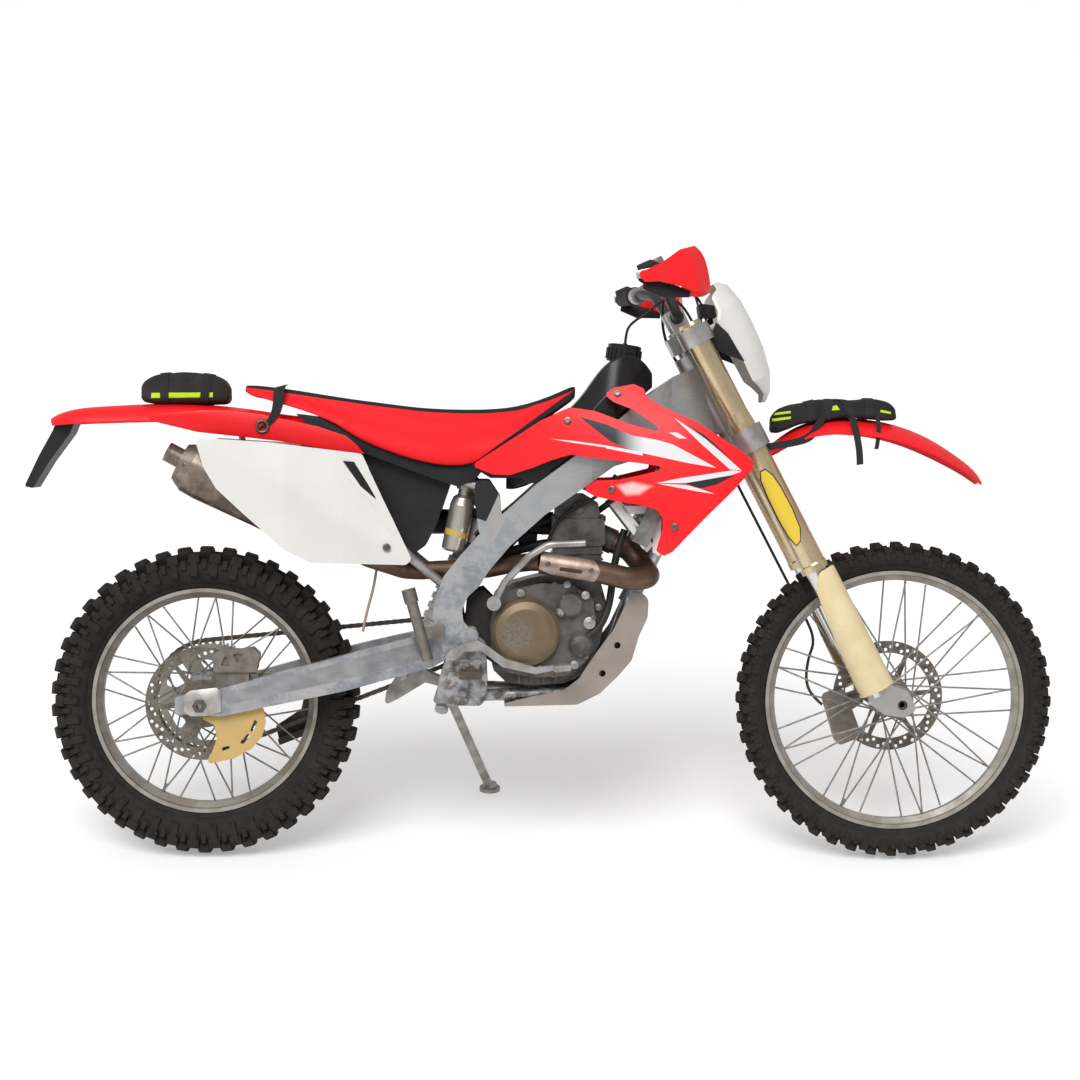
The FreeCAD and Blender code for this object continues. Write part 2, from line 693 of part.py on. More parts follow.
def radiators():
    """Two upright cores with side tanks, one each side of the down tube."""
    lean = V(96, 0, 207)
    lean.normalize()
    back = V(lean.z, 0, -lean.x)
    foot = V(919, 0, 678)
    cores = []
    for sign in (-1, 1):
        corners = []
        for along, depth in ((0, -17), (212, -17), (212, 17), (0, 17)):
            corners.append(foot + lean * along + back * depth + ACROSS * (sign * COOLER_INNER))
        core = polygon_face(corners).extrude(V(0, sign * (COOLER_OUTER - COOLER_INNER), 0))
        grooves = []
        for i in range(LOUVRES):
            along = 20 + 174 * i / (LOUVRES - 1)
            for near, far in ((-19, -11), (11, 19)):
                outline = [foot + lean * (along + rise) + back * depth
                           + ACROSS * (sign * (COOLER_INNER + 9))
                           for rise, depth in ((0, near), (8, near), (8, far), (0, far))]
                width = COOLER_OUTER - COOLER_INNER - 26
                grooves.append(polygon_face(outline).extrude(V(0, sign * width, 0)))
        cores.append(core.cut(Part.makeCompound(grooves)))
    return Part.makeCompound(cores)


# Exhaust

HEADER_ROUTE = [
    (936, -52, 622), (946, -104, 606), (900, -124, 604), (840, -126, 618),
    (712, -122, 638),
]
PIPE_ROUTE = [
    (716, -122, 638), (690, -106, 637), (650, -68, 630), (600, -62, 619), (534, -59, 619),
    (492, -46, 616), (458, -46, 613), (424, -58, 616), (350, -96, 642), (262, SILENCER_Y, 686),
]


def header_points():
    """Route of the header from the exhaust port."""
    start = [PORT + PORT_COURSE * SEAT_GAP, PORT + PORT_COURSE * 36]
    return start + [V(*point) for point in HEADER_ROUTE]


def exhaust_pipe():
    """Header that loops round to the right side and the pipe behind it."""
    header = tube(header_points(), HEADER_RADIUS, 60)
    pipe = tube([V(*p) for p in PIPE_ROUTE], PIPE_RADIUS, 60)
    return fused([header, pipe])


def heat_shield():
    """Slotted guard on the header."""
    start = V(*HEADER_ROUTE[-2])
    end = V(*HEADER_ROUTE[-1])
    shell = rod(start, end, HEADER_RADIUS + 5).cut(rod(start, end, HEADER_RADIUS + 2))
    outline = [(700, 648), (722, 660), (826, 644), (838, 620), (826, 598), (733, 614), (704, 628)]
    shell = shell.common(rounded_plate(outline, 8, -170, -128))
    slot = rounded_plate([(752, 622), (800, 616), (800, 624), (752, 630)], 3.9, -170, -120)
    posts = [rod(V(x, -126 - HEADER_RADIUS + 1.5, z), V(x, -126 - HEADER_RADIUS - 4, z), 6)
             for x, z in ((728, 636), (818, 624))]
    return fused([shell.cut(slot)] + [post.cut(exhaust_cutter()) for post in posts])


def exhaust_cutter():
    """Header enlarged by the gap that its shield's posts leave."""
    return tube(header_points(), HEADER_RADIUS + SEAT_GAP, 60)


def silencer():
    """Tapered oval can with an end cap and outlet."""
    axis = V(0.888, 0, -0.46)
    axis.normalize()
    up = V(-axis.z, 0, axis.x)
    rear = V(-43, SILENCER_Y, 842)
    wires = []
    sizes = ((0, 0.72), (26, 0.98), (60, 1.0), (250, 0.82), (SILENCER_LENGTH, 0.42))
    for along, share in sizes:
        centre = rear + axis * along
        corners = []
        for i in range(12):
            angle = math.radians(30 * i + 15)
            corners.append(
                centre
                + up * (math.cos(angle) * SILENCER_HALF_HEIGHT * share)
                + ACROSS * (math.sin(angle) * SILENCER_HALF_WIDTH * share)
            )
        wires.append(rounded_loop(corners, 40))
    can = loft(wires, ruled=True)
    outlet = rod(rear - axis * 34 + up * 6, rear + axis * 4 + up * 6, 21)
    bore = rod(rear - axis * 40 + up * 6, rear - axis * 2 + up * 6, 18.5)
    body = fused([can, outlet]).cut(bore)
    return body.cut(exhaust_pipe())


# Bodywork

def seat():
    """Long seat that rises over the tank at its front."""
    stations = [
        (86, 990, 1004, 58, 52), (150, 972, 999, 88, 72), (261, 944, 984, 108, 84),
        (369, 884, 970, 116, 86), (476, 852, 958, 118, 84), (583, 856, 957, 110, 76),
        (669, 914, 965, 92, 64), (733, 952, 986, 76, 54), (790, 984, 1014, 58, 44),
    ]
    wires = []
    for x, low, high, wide, narrow in stations:
        half = [(0, low), (wide, low), (wide * 0.99, low + (high - low) * 0.4),
                (narrow, high - 3), (0, high)]
        wires.append(section(x, half, 9))
    foam = loft(wires)
    underside = [(x, z + RAIL_RADIUS) for x, _, z in UPPER_RAIL[1:-2]]
    pan = side_plate(underside + [(120, 946), (120, 985), (261, 960), (369, 900), (476, 870)],
                     -92, 92)
    body = fused([foam, pan])
    body = body.cut(arched_loft(REAR_FENDER, -60, 2 * SEAT_GAP, 0.12))
    return body.cut(lifted(fuel_tank())).cut(lifted(subframe()))


def lifted(shape):
    """Copy of a shape raised by the seat gap."""
    copy = shape.copy()
    copy.translate(V(0, 0, SEAT_GAP))
    return copy


def fuel_tank():
    """Saddle tank over the spars, with its filler cap."""
    stations = [
        (640, 790, 886, 66, 60), (700, 806, 926, 92, 62), (784, 864, 972, 102, 66),
        (840, 912, 1046, 100, 62), (880, 946, 1074, 88, 58), (925, 986, 1068, 52, 38),
        (950, 1008, 1040, 28, 20),
    ]
    wires = []
    for x, low, high, wide, narrow in stations:
        half = [(0, low), (wide, low), (wide * 0.97, low + (high - low) * 0.5),
                (narrow, high - 2), (0, high)]
        wires.append(section(x, half, 8))
    body = loft(wires)
    cap_base = V(888, 0, 1062)
    tilt = V(0.12, 0, 1)
    cap = Part.makeCylinder(36, 36, cap_base, tilt)
    return fused([body, cap]).cut(lifted(main_frame()))


SHROUD_OUTLINE = [
    (565, 839), (611, 821), (647, 820), (693, 835), (734, 852), (774, 864), (828, 857),
    (915, 848), (959, 842), (957, 833), (875, 813), (827, 811), (798, 792), (824, 778),
    (865, 769), (916, 761), (950, 753), (964, 736), (964, 712), (951, 666), (967, 656),
    (985, 665), (1019, 702), (1066, 751), (1110, 795), (1147, 837), (1150, 852),
    (1126, 874), (1037, 932), (962, 967), (931, 987), (926, 1004), (905, 1013),
    (865, 1005), (843, 991), (862, 975), (903, 959), (953, 924), (955, 914), (902, 927),
    (823, 956), (771, 963), (709, 934),
]
SHROUD_LOW = [
    (545, -114), (700, -124), (800, -146), (900, -172), (1000, -192), (1080, -200), (1170, -195),
]
SHROUD_HIGH = [
    (545, -112), (700, -108), (800, -106), (900, -108), (1000, -128), (1080, -180), (1170, -190),
]


SHROUD_LEVELS = (
    (540, 0.0), (660, 0.0), (760, 0.02), (840, 0.10), (900, 0.24), (950, 0.45), (990, 0.7),
    (1030, 0.95),
)


def blend(first, second, share):
    """Plan curve between two others with the same stations."""
    return [(x, low + (high - low) * share) for (x, low), (_, high) in zip(first, second)]


def smooth_slab(levels, thickness):
    """Skin like curved_slab's whose plan curves and heights run smoothly."""
    wires = []
    for height, curve in levels:
        outer = Part.BSplineCurve()
        outer.interpolate([V(x, y, height) for x, y in curve])
        inner = Part.BSplineCurve()
        inner.interpolate([V(x, y + thickness, height) for x, y in reversed(curve)])
        (x0, y0), (x1, y1) = curve[0], curve[-1]
        wires.append(Part.Wire([
            outer.toShape(),
            Part.makeLine(V(x1, y1, height), V(x1, y1 + thickness, height)),
            inner.toShape(),
            Part.makeLine(V(x0, y0 + thickness, height), V(x0, y0, height)),
        ]))
    return loft(wires)


def shroud(sign):
    """Radiator shroud on one side, a thin moulded skin."""
    outline = rounded_plate(SHROUD_OUTLINE, 7, -230, -60)
    skin = smooth_slab(
        [(height, blend(SHROUD_LOW, SHROUD_HIGH, share)) for height, share in SHROUD_LEVELS],
        PANEL_THICKNESS,
    )
    shape = skin.common(outline)
    bosses = []
    for x, z in ((975, 800), (948, 762)):
        y = curve_at(SHROUD_LOW, x)
        bosses.append(rod(V(x, y + 3, z), V(x, -COOLER_OUTER - SEAT_GAP, z), 8))
    shape = fused([shape] + bosses)
    return shape if sign < 0 else mirrored(shape)


PANEL_OUTLINE = [
    (-8, 893), (150, 884), (338, 862), (443, 640), (430, 629), (235, 634), (180, 660),
    (87, 742), (37, 788), (10, 832),
]
PANEL_CURVE = [
    (-30, -150), (60, -158), (180, -158), (300, -140), (380, -122), (460, -108),
]


def side_panel(sign):
    """White number panel beside the rear frame."""
    outline = rounded_plate(PANEL_OUTLINE, 12, -200, -60)
    skin = curved_slab(((600, PANEL_CURVE), (920, PANEL_CURVE)), PANEL_THICKNESS)
    slot = rounded_plate([(322, 812), (352, 836), (396, 742), (404, 706), (372, 752)], 5, -200, -60)
    shape = skin.common(outline).cut(slot)
    return shape if sign < 0 else mirrored(shape)


REAR_FENDER = [
    (-328, 930, 52, 14), (-300, 944, 66, 24), (-215, 957, 76, 32), (-130, 962, 84, 34),
    (0, 962, 92, 36), (90, 954, 94, 36), (160, 944, 92, 30), (220, 940, 90, 14),
]
FRONT_FENDER = [
    (1186, 870, 44, 10), (1216, 895, 58, 18), (1271, 930, 74, 26), (1379, 946, 82, 32),
    (1465, 935, 82, 32), (1552, 902, 76, 28), (1618, 860, 62, 20), (1664, 812, 30, 6),
]


def rear_fender():
    """Long flat-topped rear mudguard."""
    return arched_loft(REAR_FENDER, -FENDER_THICKNESS, 0, 0.12)


def front_fender():
    """High front mudguard under the lower clamp."""
    return arched_loft(FRONT_FENDER, -FENDER_THICKNESS, 0)


def tail_bag():
    """Small tool bag strapped on the rear mudguard."""
    stations = [
        (-140, 950, 1004, 44, 38), (-118, 950, 1026, 58, 46), (-30, 950, 1031, 62, 50),
        (34, 950, 1024, 56, 44), (52, 950, 1000, 42, 36),
    ]
    wires = []
    for x, low, high, wide, narrow in stations:
        half = [(0, low), (wide, low), (wide, low + (high - low) * 0.5), (narrow, high), (0, high)]
        wires.append(section(x, half, 10))
    return loft(wires).cut(arched_loft(REAR_FENDER, -60, SEAT_GAP, 0.12))


def tool_roll():
    """Rolled tool bag strapped on the front mudguard."""
    roll = []
    shares = (0.66, 0.7, 0.74, 0.72)
    for (x, z, half_width, drop), share in zip(FRONT_FENDER[1:5], shares):
        roll.append((x, z, half_width * share, drop * share * share))
    return arched_loft(roll, -6, 42).cut(arched_loft(FRONT_FENDER, -40, SEAT_GAP))


def tail_bracket():
    """Holder below the rear mudguard for the lamp and the blank plate."""
    outline = [(-304, 952), (-262, 956), (-286, 898), (-330, 838), (-364, 782), (-382, 786),
               (-352, 850), (-322, 905)]
    arm = rounded_plate(outline, 4, -40, 40)
    arm = arm.cut(arched_loft(REAR_FENDER, -FENDER_THICKNESS - SEAT_GAP, 60, 0.12))
    return arm.cut(rear_fender())


SKID_OUTER = [
    (906, 576), (944, 568), (942, 521), (924, 481), (909, 429), (878, 393), (842, 358),
    (795, 334), (640, 329),
]
SKID_INNER = [(640, 336), (703, 352), (764, 364), (798, 390), (823, 430), (869, 493), (894, 546)]


def skid_floor(x):
    """Height of the guard's floor at x."""
    (x0, z0), (x1, z1) = SKID_OUTER[-1], SKID_OUTER[-2]
    return z0 + (z1 - z0) * (x - x0) / (x1 - x0) + SKID_WALL


def skid_plate():
    """Folded guard under the cradle, with two holes in each wing."""
    wall = SKID_WALL
    half = 88.0
    body = rounded_plate(SKID_OUTER + SKID_INNER, 24, -half, half)
    inside = [(906 - 14, 580), (944 - wall, 572), (942 - wall, 521), (924 - wall, 483),
              (909 - wall, 432), (878 - 3, 396), (842 - 2, 362), (795, 334 + wall),
              (630, skid_floor(630)), (630, 640)]
    body = body.cut(rounded_plate(inside, 10, -half + wall, half - wall))
    for point in ((878, 461), (847, 401)):
        body = body.cut(cross_rod(point, -half - 5, half + 5, 7))
    return body


# Controls for the feet

def footpegs():
    """Two folding rests, each a frame with a row of teeth."""
    pegs = []
    for sign in (-1, 1):
        hinge = cross_rod((568, 404), 0, 16, 9)
        bar = side_plate([(546, 398), (592, 398), (592, 414), (546, 414)], 14, 78)
        hole = side_plate([(556, 390), (582, 390), (582, 424), (556, 424)], 24, 70)
        peg = fused([hinge, bar.cut(hole)])
        for i in range(5):
            y = 20 + 12 * i
            for x in (550, 588):
                tooth = side_plate([(x - 4, 413), (x + 4, 413), (x, 421)], y, y + 6)
                peg = peg.fuse(tooth)
        peg.translate(V(0, SPAR_OUTER + 14 + SEAT_GAP, 0))
        pegs.append(peg if sign > 0 else mirrored(peg))
    return Part.makeCompound(pegs)


def brake_pedal():
    """Forged rear brake pedal on the right."""
    outline = [(512, 430), (524, 452), (552, 466), (584, 474), (604, 462), (640, 436), (704, 418),
               (748, 424), (752, 414), (704, 404), (636, 418), (590, 452), (556, 450), (536, 432)]
    arm = rounded_plate(outline, 5, -142, -130)
    pad = rounded_plate([(742, 410), (778, 414), (778, 426), (742, 424)], 3, -166, -130)
    pivot = cross_rod((524, 440), -131, -SPAR_OUTER - SEAT_GAP, 8)
    return fused([arm, pad, pivot])


def gear_lever():
    """Gear lever on the left with its rubber toe piece."""
    arm = tube([V(640, 116, 414), V(700, 120, 404), V(754, 124, 420)], 6, 30)
    boss = cross_rod((640, 414), CRANKCASE_HALF_WIDTH + SEAT_GAP, 122, 9)
    toe = cross_rod((754, 420), 122, 156, 8.5)
    return fused([arm, boss, toe])


def kick_lever():
    """Folded kick starter on the right."""
    boss = cross_rod(KICK_SHAFT, -138, -118 - SEAT_GAP, 15)
    arm = tube(
        [V(KICK_SHAFT[0], -130, KICK_SHAFT[1]), V(638, -134, 596), V(690, -146, 652), V(728, -150, 676),
         V(806, -150, 680)],
        7.5, 40,
    )
    return fused([boss, arm])


# Brakes and guards at the rear wheel

def rear_brake():
    """Rear calliper on its bracket, with the master cylinder at the pedal."""
    gap = 5.2
    low = REAR_DISC_Y - DISC_THICKNESS / 2 - gap
    high = REAR_DISC_Y + DISC_THICKNESS / 2 + gap
    body = rounded_plate([(26, 398), (116, 400), (123, 437), (108, 451), (80, 446), (44, 448),
                          (24, 436)], 6, -96, -56)
    for corners in ([(40, 412), (62, 412), (51, 436)], [(66, 438), (88, 438), (77, 416)]):
        body = body.cut(rounded_plate(corners, 3, -100, -89))
    body = body.fuse(cross_rod((103, 424), -98, -90, 8))
    slot = turned([(60, low), (DISC_RADIUS + 6, low), (DISC_RADIUS + 6, high), (60, high)], REAR_AXLE)
    body = body.cut(slot)
    foot = rounded_plate([(30, 342), (100, 356), (100, 410), (30, 410)], 5, -ARM_INNER + SEAT_GAP,
                         low)
    body = body.fuse(foot.cut(slot)).cut(swingarm_envelope())
    master = rod(V(478, -124, 430), V(440, -124, 565), 12)
    head = rod(V(444, -124, 551), V(436, -124, 579), 15)
    bracket = rounded_plate([(458, 470), (500, 480), (500, 500), (452, 496)], 4, -124, -SPAR_OUTER - SEAT_GAP)
    plate = rounded_plate([(494, 472), (512, 472), (512, 506), (494, 506)], 4, -124, -SPAR_OUTER - SEAT_GAP)
    cylinder_part = fused([master, head, bracket, plate])
    return Part.makeCompound([body, cylinder_part])


def swingarm_envelope():
    """Right arm grown by the gap that bolted pieces leave."""
    grown = rounded_plate([(x, z) for x, z in ARM_SIDE], 8, -ARM_OUTER - 5, -ARM_INNER + SEAT_GAP)
    return grown


def disc_guard():
    """Slotted fin under the right arm that covers the rear disc."""
    outline = [(-4, 303), (22, 306), (72, 313), (132, 326), (137, 294), (129, 263), (108, 238),
               (72, 217), (9, 203), (24, 230), (34, 258), (29, 287)]
    fin = rounded_plate(outline, 7, -101, -97)
    for corners in (
        [(82, 250), (89, 247), (105, 265), (99, 270)],
        [(104, 276), (110, 272), (120, 296), (113, 299)],
        [(44, 232), (62, 238), (60, 244), (46, 240)],
    ):
        fin = fin.cut(rounded_plate(corners, 2.4, -110, -90))
    return fin.cut(swingarm_envelope_gap())


def swingarm_envelope_gap():
    """Right arm's side outline lowered by the seat gap."""
    lowered = [(x, z - SEAT_GAP) for x, z in ARM_SIDE]
    return rounded_plate(lowered, 8, -ARM_OUTER - 5, -ARM_INNER + 5)


def chain_run(offset):
    """Outline of the chain loop, offset from its pitch line."""
    span = V(PINION[0] - REAR_AXLE.x, 0, PINION[1] - REAR_AXLE.z)
    course = math.atan2(span.z, span.x)
    swing = math.asin((PITCH_RADIUS - PINION_RADIUS) / span.Length)
    points = []
    for centre, radius, start, sweep, steps in (
        (REAR_AXLE, PITCH_RADIUS, course + math.pi / 2 - swing, math.pi + 2 * swing, 24),
        (V(PINION[0], 0, PINION[1]), PINION_RADIUS, course - math.pi / 2 + swing,
         math.pi - 2 * swing, 12),
    ):
        for i in range(steps + 1):
            angle = start + sweep * i / steps
            reach = (radius + offset)
            points.append((centre.x + reach * math.cos(angle), centre.z + reach * math.sin(angle)))
    return points


def chain_line():
    """Points on the chain's pitch line, one for each link."""
    corners = side(chain_run(0))
    edges = [Part.makeLine(start, end) for start, end in zip(corners, corners[1:])]
    loop = Part.Wire(edges + [Part.makeLine(corners[-1], corners[0])])
    links = 2 * round(loop.Length / CHAIN_PITCH / 2)
    return loop.discretize(Number=links + 1)[:-1]


def chain():
    """Drive chain as one closed loop whose edge waves with its links."""
    low = CHAIN_Y - CHAIN_WIDTH / 2
    line = chain_line()
    edge = []
    for i, point in enumerate(line):
        out = ACROSS.cross(line[(i + 1) % len(line)] - line[i - 1])
        out.normalize()
        spot = point + out * (CHAIN_HALF_HEIGHT + (1.6 if i % 2 else -0.8))
        edge.append((spot.x, spot.z))
    outer = side_plate(edge, low, low + CHAIN_WIDTH)
    inner = side_plate(chain_run(-1.0), low - 1, low + CHAIN_WIDTH + 1)
    return outer.cut(inner)


def chain_guide():
    """Guide under the left arm that the lower run passes through."""
    outline = [(150, 222), (238, 262), (262, 360), (206, 350), (196, 300), (140, 262)]
    outer = rounded_plate(outline, 6, CHAIN_Y + 13, CHAIN_Y + 19)
    lip = rounded_plate([(150, 222), (238, 257), (236, 272), (146, 236)], 3, CHAIN_Y - 7, CHAIN_Y + 14)
    body = outer.fuse(lip)
    body = body.cut(side_plate(chain_run(CHAIN_HALF_HEIGHT + 3), 40, CHAIN_Y + 12))
    lowered = [(x, z - SEAT_GAP) for x, z in ARM_SIDE]
    return body.cut(rounded_plate(lowered, 8, ARM_INNER - 5, ARM_OUTER + 5))


# Wheels

def casing(radius, half, rim_radius, bead):
    """Section of a tyre under its lugs, as (radius, y) pairs."""
    side_wall = [(rim_radius + SEAT_GAP, -bead), (radius - 52, -half * 0.88),
                 (radius - 28, -half * 0.84), (radius - LUG_DEPTH, -half * 0.36)]
    return side_wall + [(reach, -y) for reach, y in reversed(side_wall)]


def lug_sections(radius, half):
    """Sections of the lugs of two neighbouring rows, as (radius, y) pairs."""
    root = radius - LUG_DEPTH - 7
    shoulder = [(root - 3, 0.55 * half), (radius - 4, 0.57 * half), (radius - 11, half),
                (root - 20, 0.8 * half)]
    middle = [(root, -0.34 * half), (radius, -0.32 * half), (radius, 0.32 * half),
              (root, 0.34 * half)]
    between = [(root, 0.09 * half), (radius, 0.11 * half), (radius - 2, 0.47 * half),
               (root, 0.49 * half)]

    def other(outline):
        return [(reach, -y) for reach, y in outline]

    return ([shoulder, other(shoulder), middle],
            [shoulder, other(shoulder), between, other(between)])


def tyre(centre, radius, width, rim_radius, rim_width, rows):
    """Knobbly tyre, made as one double row of lugs and turned round the wheel."""
    half = width / 2
    pitch = 2 * math.pi / rows
    grow = 1 / math.cos(pitch / 2)
    profile = casing(radius, half, rim_radius, rim_width / 2 - 1)

    def ring_point(reach, y, angle):
        return centre + V(reach * math.cos(angle), y, reach * math.sin(angle))

    def cut_at(step):
        return [ring_point(reach * grow, y, step * pitch) for reach, y in profile]

    rings = [cut_at(step) for step in (0, 1, 2)]
    faces = [polygon_face(rings[0]), polygon_face(rings[2])]
    for near, far in zip(rings, rings[1:]):
        for i in range(len(profile)):
            j = (i + 1) % len(profile)
            faces.append(polygon_face([near[i], near[j], far[j], far[i]]))
    wedge = Part.makeSolid(Part.makeShell(faces))
    if wedge.Volume < 0:
        wedge.reverse()
    blocks = []
    for step, outlines in zip((0.5, 1.5), lug_sections(radius, half)):
        angle = step * pitch
        along = V(-math.sin(angle), 0, math.cos(angle))
        for outline in outlines:
            corners = [ring_point(reach, y, angle) - along * (LUG_LENGTH / 2) for reach, y in outline]
            blocks.append(polygon_face(corners).extrude(along * LUG_LENGTH))
    row = wedge.multiFuse(blocks)
    ends = [V(0, 0, 1), V(-math.sin(2 * pitch), 0, math.cos(2 * pitch))]
    outside = []
    for face in row.Faces:
        middle = face.CenterOfMass - centre
        if all(abs(middle.dot(end)) > 0.01 for end in ends):
            outside.append(face)
    copies = []
    for i in range(rows // 2):
        for face in outside:
            turned_face = face.copy()
            turned_face.rotate(centre, ACROSS, -math.degrees(2 * pitch * i))
            copies.append(turned_face)
    skin = Part.makeCompound(copies)
    skin.sewShape(0.001)
    shell = skin.Shells[0]
    solid = Part.makeSolid(shell)
    if solid.Volume < 0:
        solid.reverse()
    return solid


def rim(centre, radius, width):
    """Drop-centre rim with two flanges."""
    half = width / 2
    low = radius - RIM_DEPTH
    profile = [
        (radius, -half), (radius, -half + 2.5), (radius - 5, -half + 3.5), (radius - 6, -half * 0.4),
        (radius - 13, -half * 0.3), (radius - 13, half * 0.3), (radius - 6, half * 0.4),
        (radius - 5, half - 3.5), (radius, half - 2.5), (radius, half), (radius - 8, half - 0.5),
        (radius - 10, half * 0.72), (low, half * 0.36), (low, -half * 0.36),
        (radius - 10, -half * 0.72), (radius - 8, -half + 0.5),
    ]
    return turned(profile, centre)


def spokes(centre, hub_radius, hub_y, rim_radius):
    """Tangent-laced spokes from the hub flanges to the rim."""
    quarter = SPOKE_COUNT // 4
    reach = rim_radius - RIM_DEPTH - 0.9
    pieces = []
    for sign in (-1, 1):
        for i in range(quarter):
            for lead, start_y, end_y in ((1, hub_y + 3.2, 8.5), (-1, hub_y - 3.2, 3.0)):
                base = 2 * math.pi * (i + (0.25 if sign > 0 else 0)) / quarter
                base += lead * math.pi / (2 * quarter) / 2
                foot = base + lead * math.radians(62)
                tip = base
                start = centre + V(hub_radius * math.cos(foot), sign * start_y,
                                   hub_radius * math.sin(foot))
                end = centre + V(reach * math.cos(tip), sign * end_y, reach * math.sin(tip))
                pieces.append(rod(start, end, SPOKE_RADIUS))
    return pieces


def front_hub():
    """Front hub, its spacers and its spokes."""
    bore = AXLE_RADIUS + BEARING_GAP
    end = LEG_LUG_INNER - SEAT_GAP
    seat_y = FRONT_DISC_Y - DISC_THICKNESS / 2 - SEAT_GAP
    profile = [
        (bore, -end), (15, -end), (15, -50), (34, -44), (38, -38), (38, -30), (22, -25), (22, 25),
        (38, 30), (38, 38), (32, 44), (30, 54), (46, 58), (46, seat_y), (16, seat_y), (16, end),
        (bore, end),
    ]
    hub = turned(profile, FRONT_AXLE)
    return fused([hub] + spokes(FRONT_AXLE, 36, 34, FRONT_RIM_RADIUS))


def rear_hub():
    """Rear hub, its spacers and its spokes."""
    bore = AXLE_RADIUS + BEARING_GAP
    end = ARM_INNER - SEAT_GAP
    disc_seat = REAR_DISC_Y + DISC_THICKNESS / 2 + SEAT_GAP
    sprocket_seat = CHAIN_Y - SPROCKET_THICKNESS / 2 - SEAT_GAP
    profile = [
        (bore, -end), (17, -end), (17, disc_seat), (50, disc_seat), (50, -66), (34, -58),
        (40, -42), (56, -40), (56, -30), (27, -24), (27, 24), (56, 30), (56, 40), (40, 44),
        (36, 56), (54, 62), (54, sprocket_seat), (17, sprocket_seat), (17, end), (bore, end),
    ]
    hub = turned(profile, REAR_AXLE)
    return fused([hub] + spokes(REAR_AXLE, 54, 35, REAR_RIM_RADIUS))


def brake_disc(centre, y, hub_radius, bore_radius):
    """Drilled brake disc on a spider of six arms."""
    low = y - DISC_THICKNESS / 2
    ring = cross_disc(centre, DISC_RADIUS, DISC_RADIUS - 26, low)
    spider = cross_disc(centre, hub_radius, bore_radius, low)
    arms = []
    for i in range(6):
        angle = math.radians(60 * i)
        along = V(math.cos(angle), 0, math.sin(angle))
        aside = V(-along.z, 0, along.x)
        start = centre + along * (hub_radius - 4)
        end = centre + along * (DISC_RADIUS - 22)
        corners = [start + aside * 9, end + aside * 6 + aside * 8, end - aside * 2 + aside * 8,
                   start - aside * 5]
        for corner in corners:
            corner.y = low
        arms.append(polygon_face(corners).extrude(V(0, DISC_THICKNESS, 0)))
    disc = fused([ring, spider] + arms)
    holes = []
    for i in range(DISC_HOLES):
        angle = 2 * math.pi * i / DISC_HOLES
        reach = DISC_RADIUS - (7, 13, 19)[i % 3]
        spot = (centre.x + reach * math.cos(angle), centre.z + reach * math.sin(angle))
        holes.append(cross_rod(spot, low - 1, low + DISC_THICKNESS + 1, DISC_HOLE_RADIUS))
    return disc.cut(Part.makeCompound(holes))


def cross_disc(centre, outer, inner, low):
    """Flat ring across the machine, one disc thick."""
    body = cross_rod((centre.x, centre.z), low, low + DISC_THICKNESS, outer)
    return body.cut(cross_rod((centre.x, centre.z), low - 1, low + DISC_THICKNESS + 1, inner))


def toothed_disc(centre, tip_radius, teeth, y_low, y_high):
    """Plate wheel with blunt teeth."""
    points = []
    for i in range(teeth):
        for share, depth in ((0.0, 7.5), (0.28, 7.5), (0.52, 0.0), (0.76, 0.0)):
            angle = 2 * math.pi * (i + share) / teeth
            reach = tip_radius - depth
            points.append((centre.x + reach * math.cos(angle), centre.z + reach * math.sin(angle)))
    return side_plate(points, y_low, y_high)


def rear_sprocket():
    """Driven sprocket with lightening windows."""
    low = CHAIN_Y - SPROCKET_THICKNESS / 2
    high = low + SPROCKET_THICKNESS
    wheel = toothed_disc(REAR_AXLE, PITCH_RADIUS - 1.4, SPROCKET_TEETH, low, high)
    wheel = wheel.cut(cross_rod((0, REAR_AXLE_HEIGHT), low - 1, high + 1, 17 + SEAT_GAP))
    windows = []
    for i in range(6):
        angle = math.radians(60 * i + 30)
        corners = []
        for reach, swing in ((60, -14), (104, -19), (104, 19), (60, 14)):
            turn = angle + math.radians(swing)
            corners.append((reach * math.cos(turn), REAR_AXLE_HEIGHT + reach * math.sin(turn)))
        windows.append(rounded_plate(corners, 8, low - 1, high + 1))
    return wheel.cut(Part.makeCompound(windows))


# Steered pieces

def clamp(s_low, s_high, leg_radius, front):
    """One fork clamp seen along the steering axis."""
    lobe = leg_radius + CLAMP_WALL
    outline = [(-26, -34), (-26, 34), (LEG_OFFSET - lobe, LEG_SPACING - 20), (front, LEG_SPACING),
               (front, -LEG_SPACING), (LEG_OFFSET - lobe, -LEG_SPACING + 20)]
    body = clamp_plate(outline, s_low, s_high)
    lobes = [rod(fork(LEG_OFFSET, s_low, y), fork(LEG_OFFSET, s_high, y), lobe)
             for y in (-LEG_SPACING, LEG_SPACING)]
    body = fused([body] + lobes)
    for y in (-LEG_SPACING, LEG_SPACING):
        body = body.cut(rod(fork(LEG_OFFSET, s_low - 5, y), fork(LEG_OFFSET, s_high + 5, y),
                            leg_radius + SEAT_GAP))
    return body


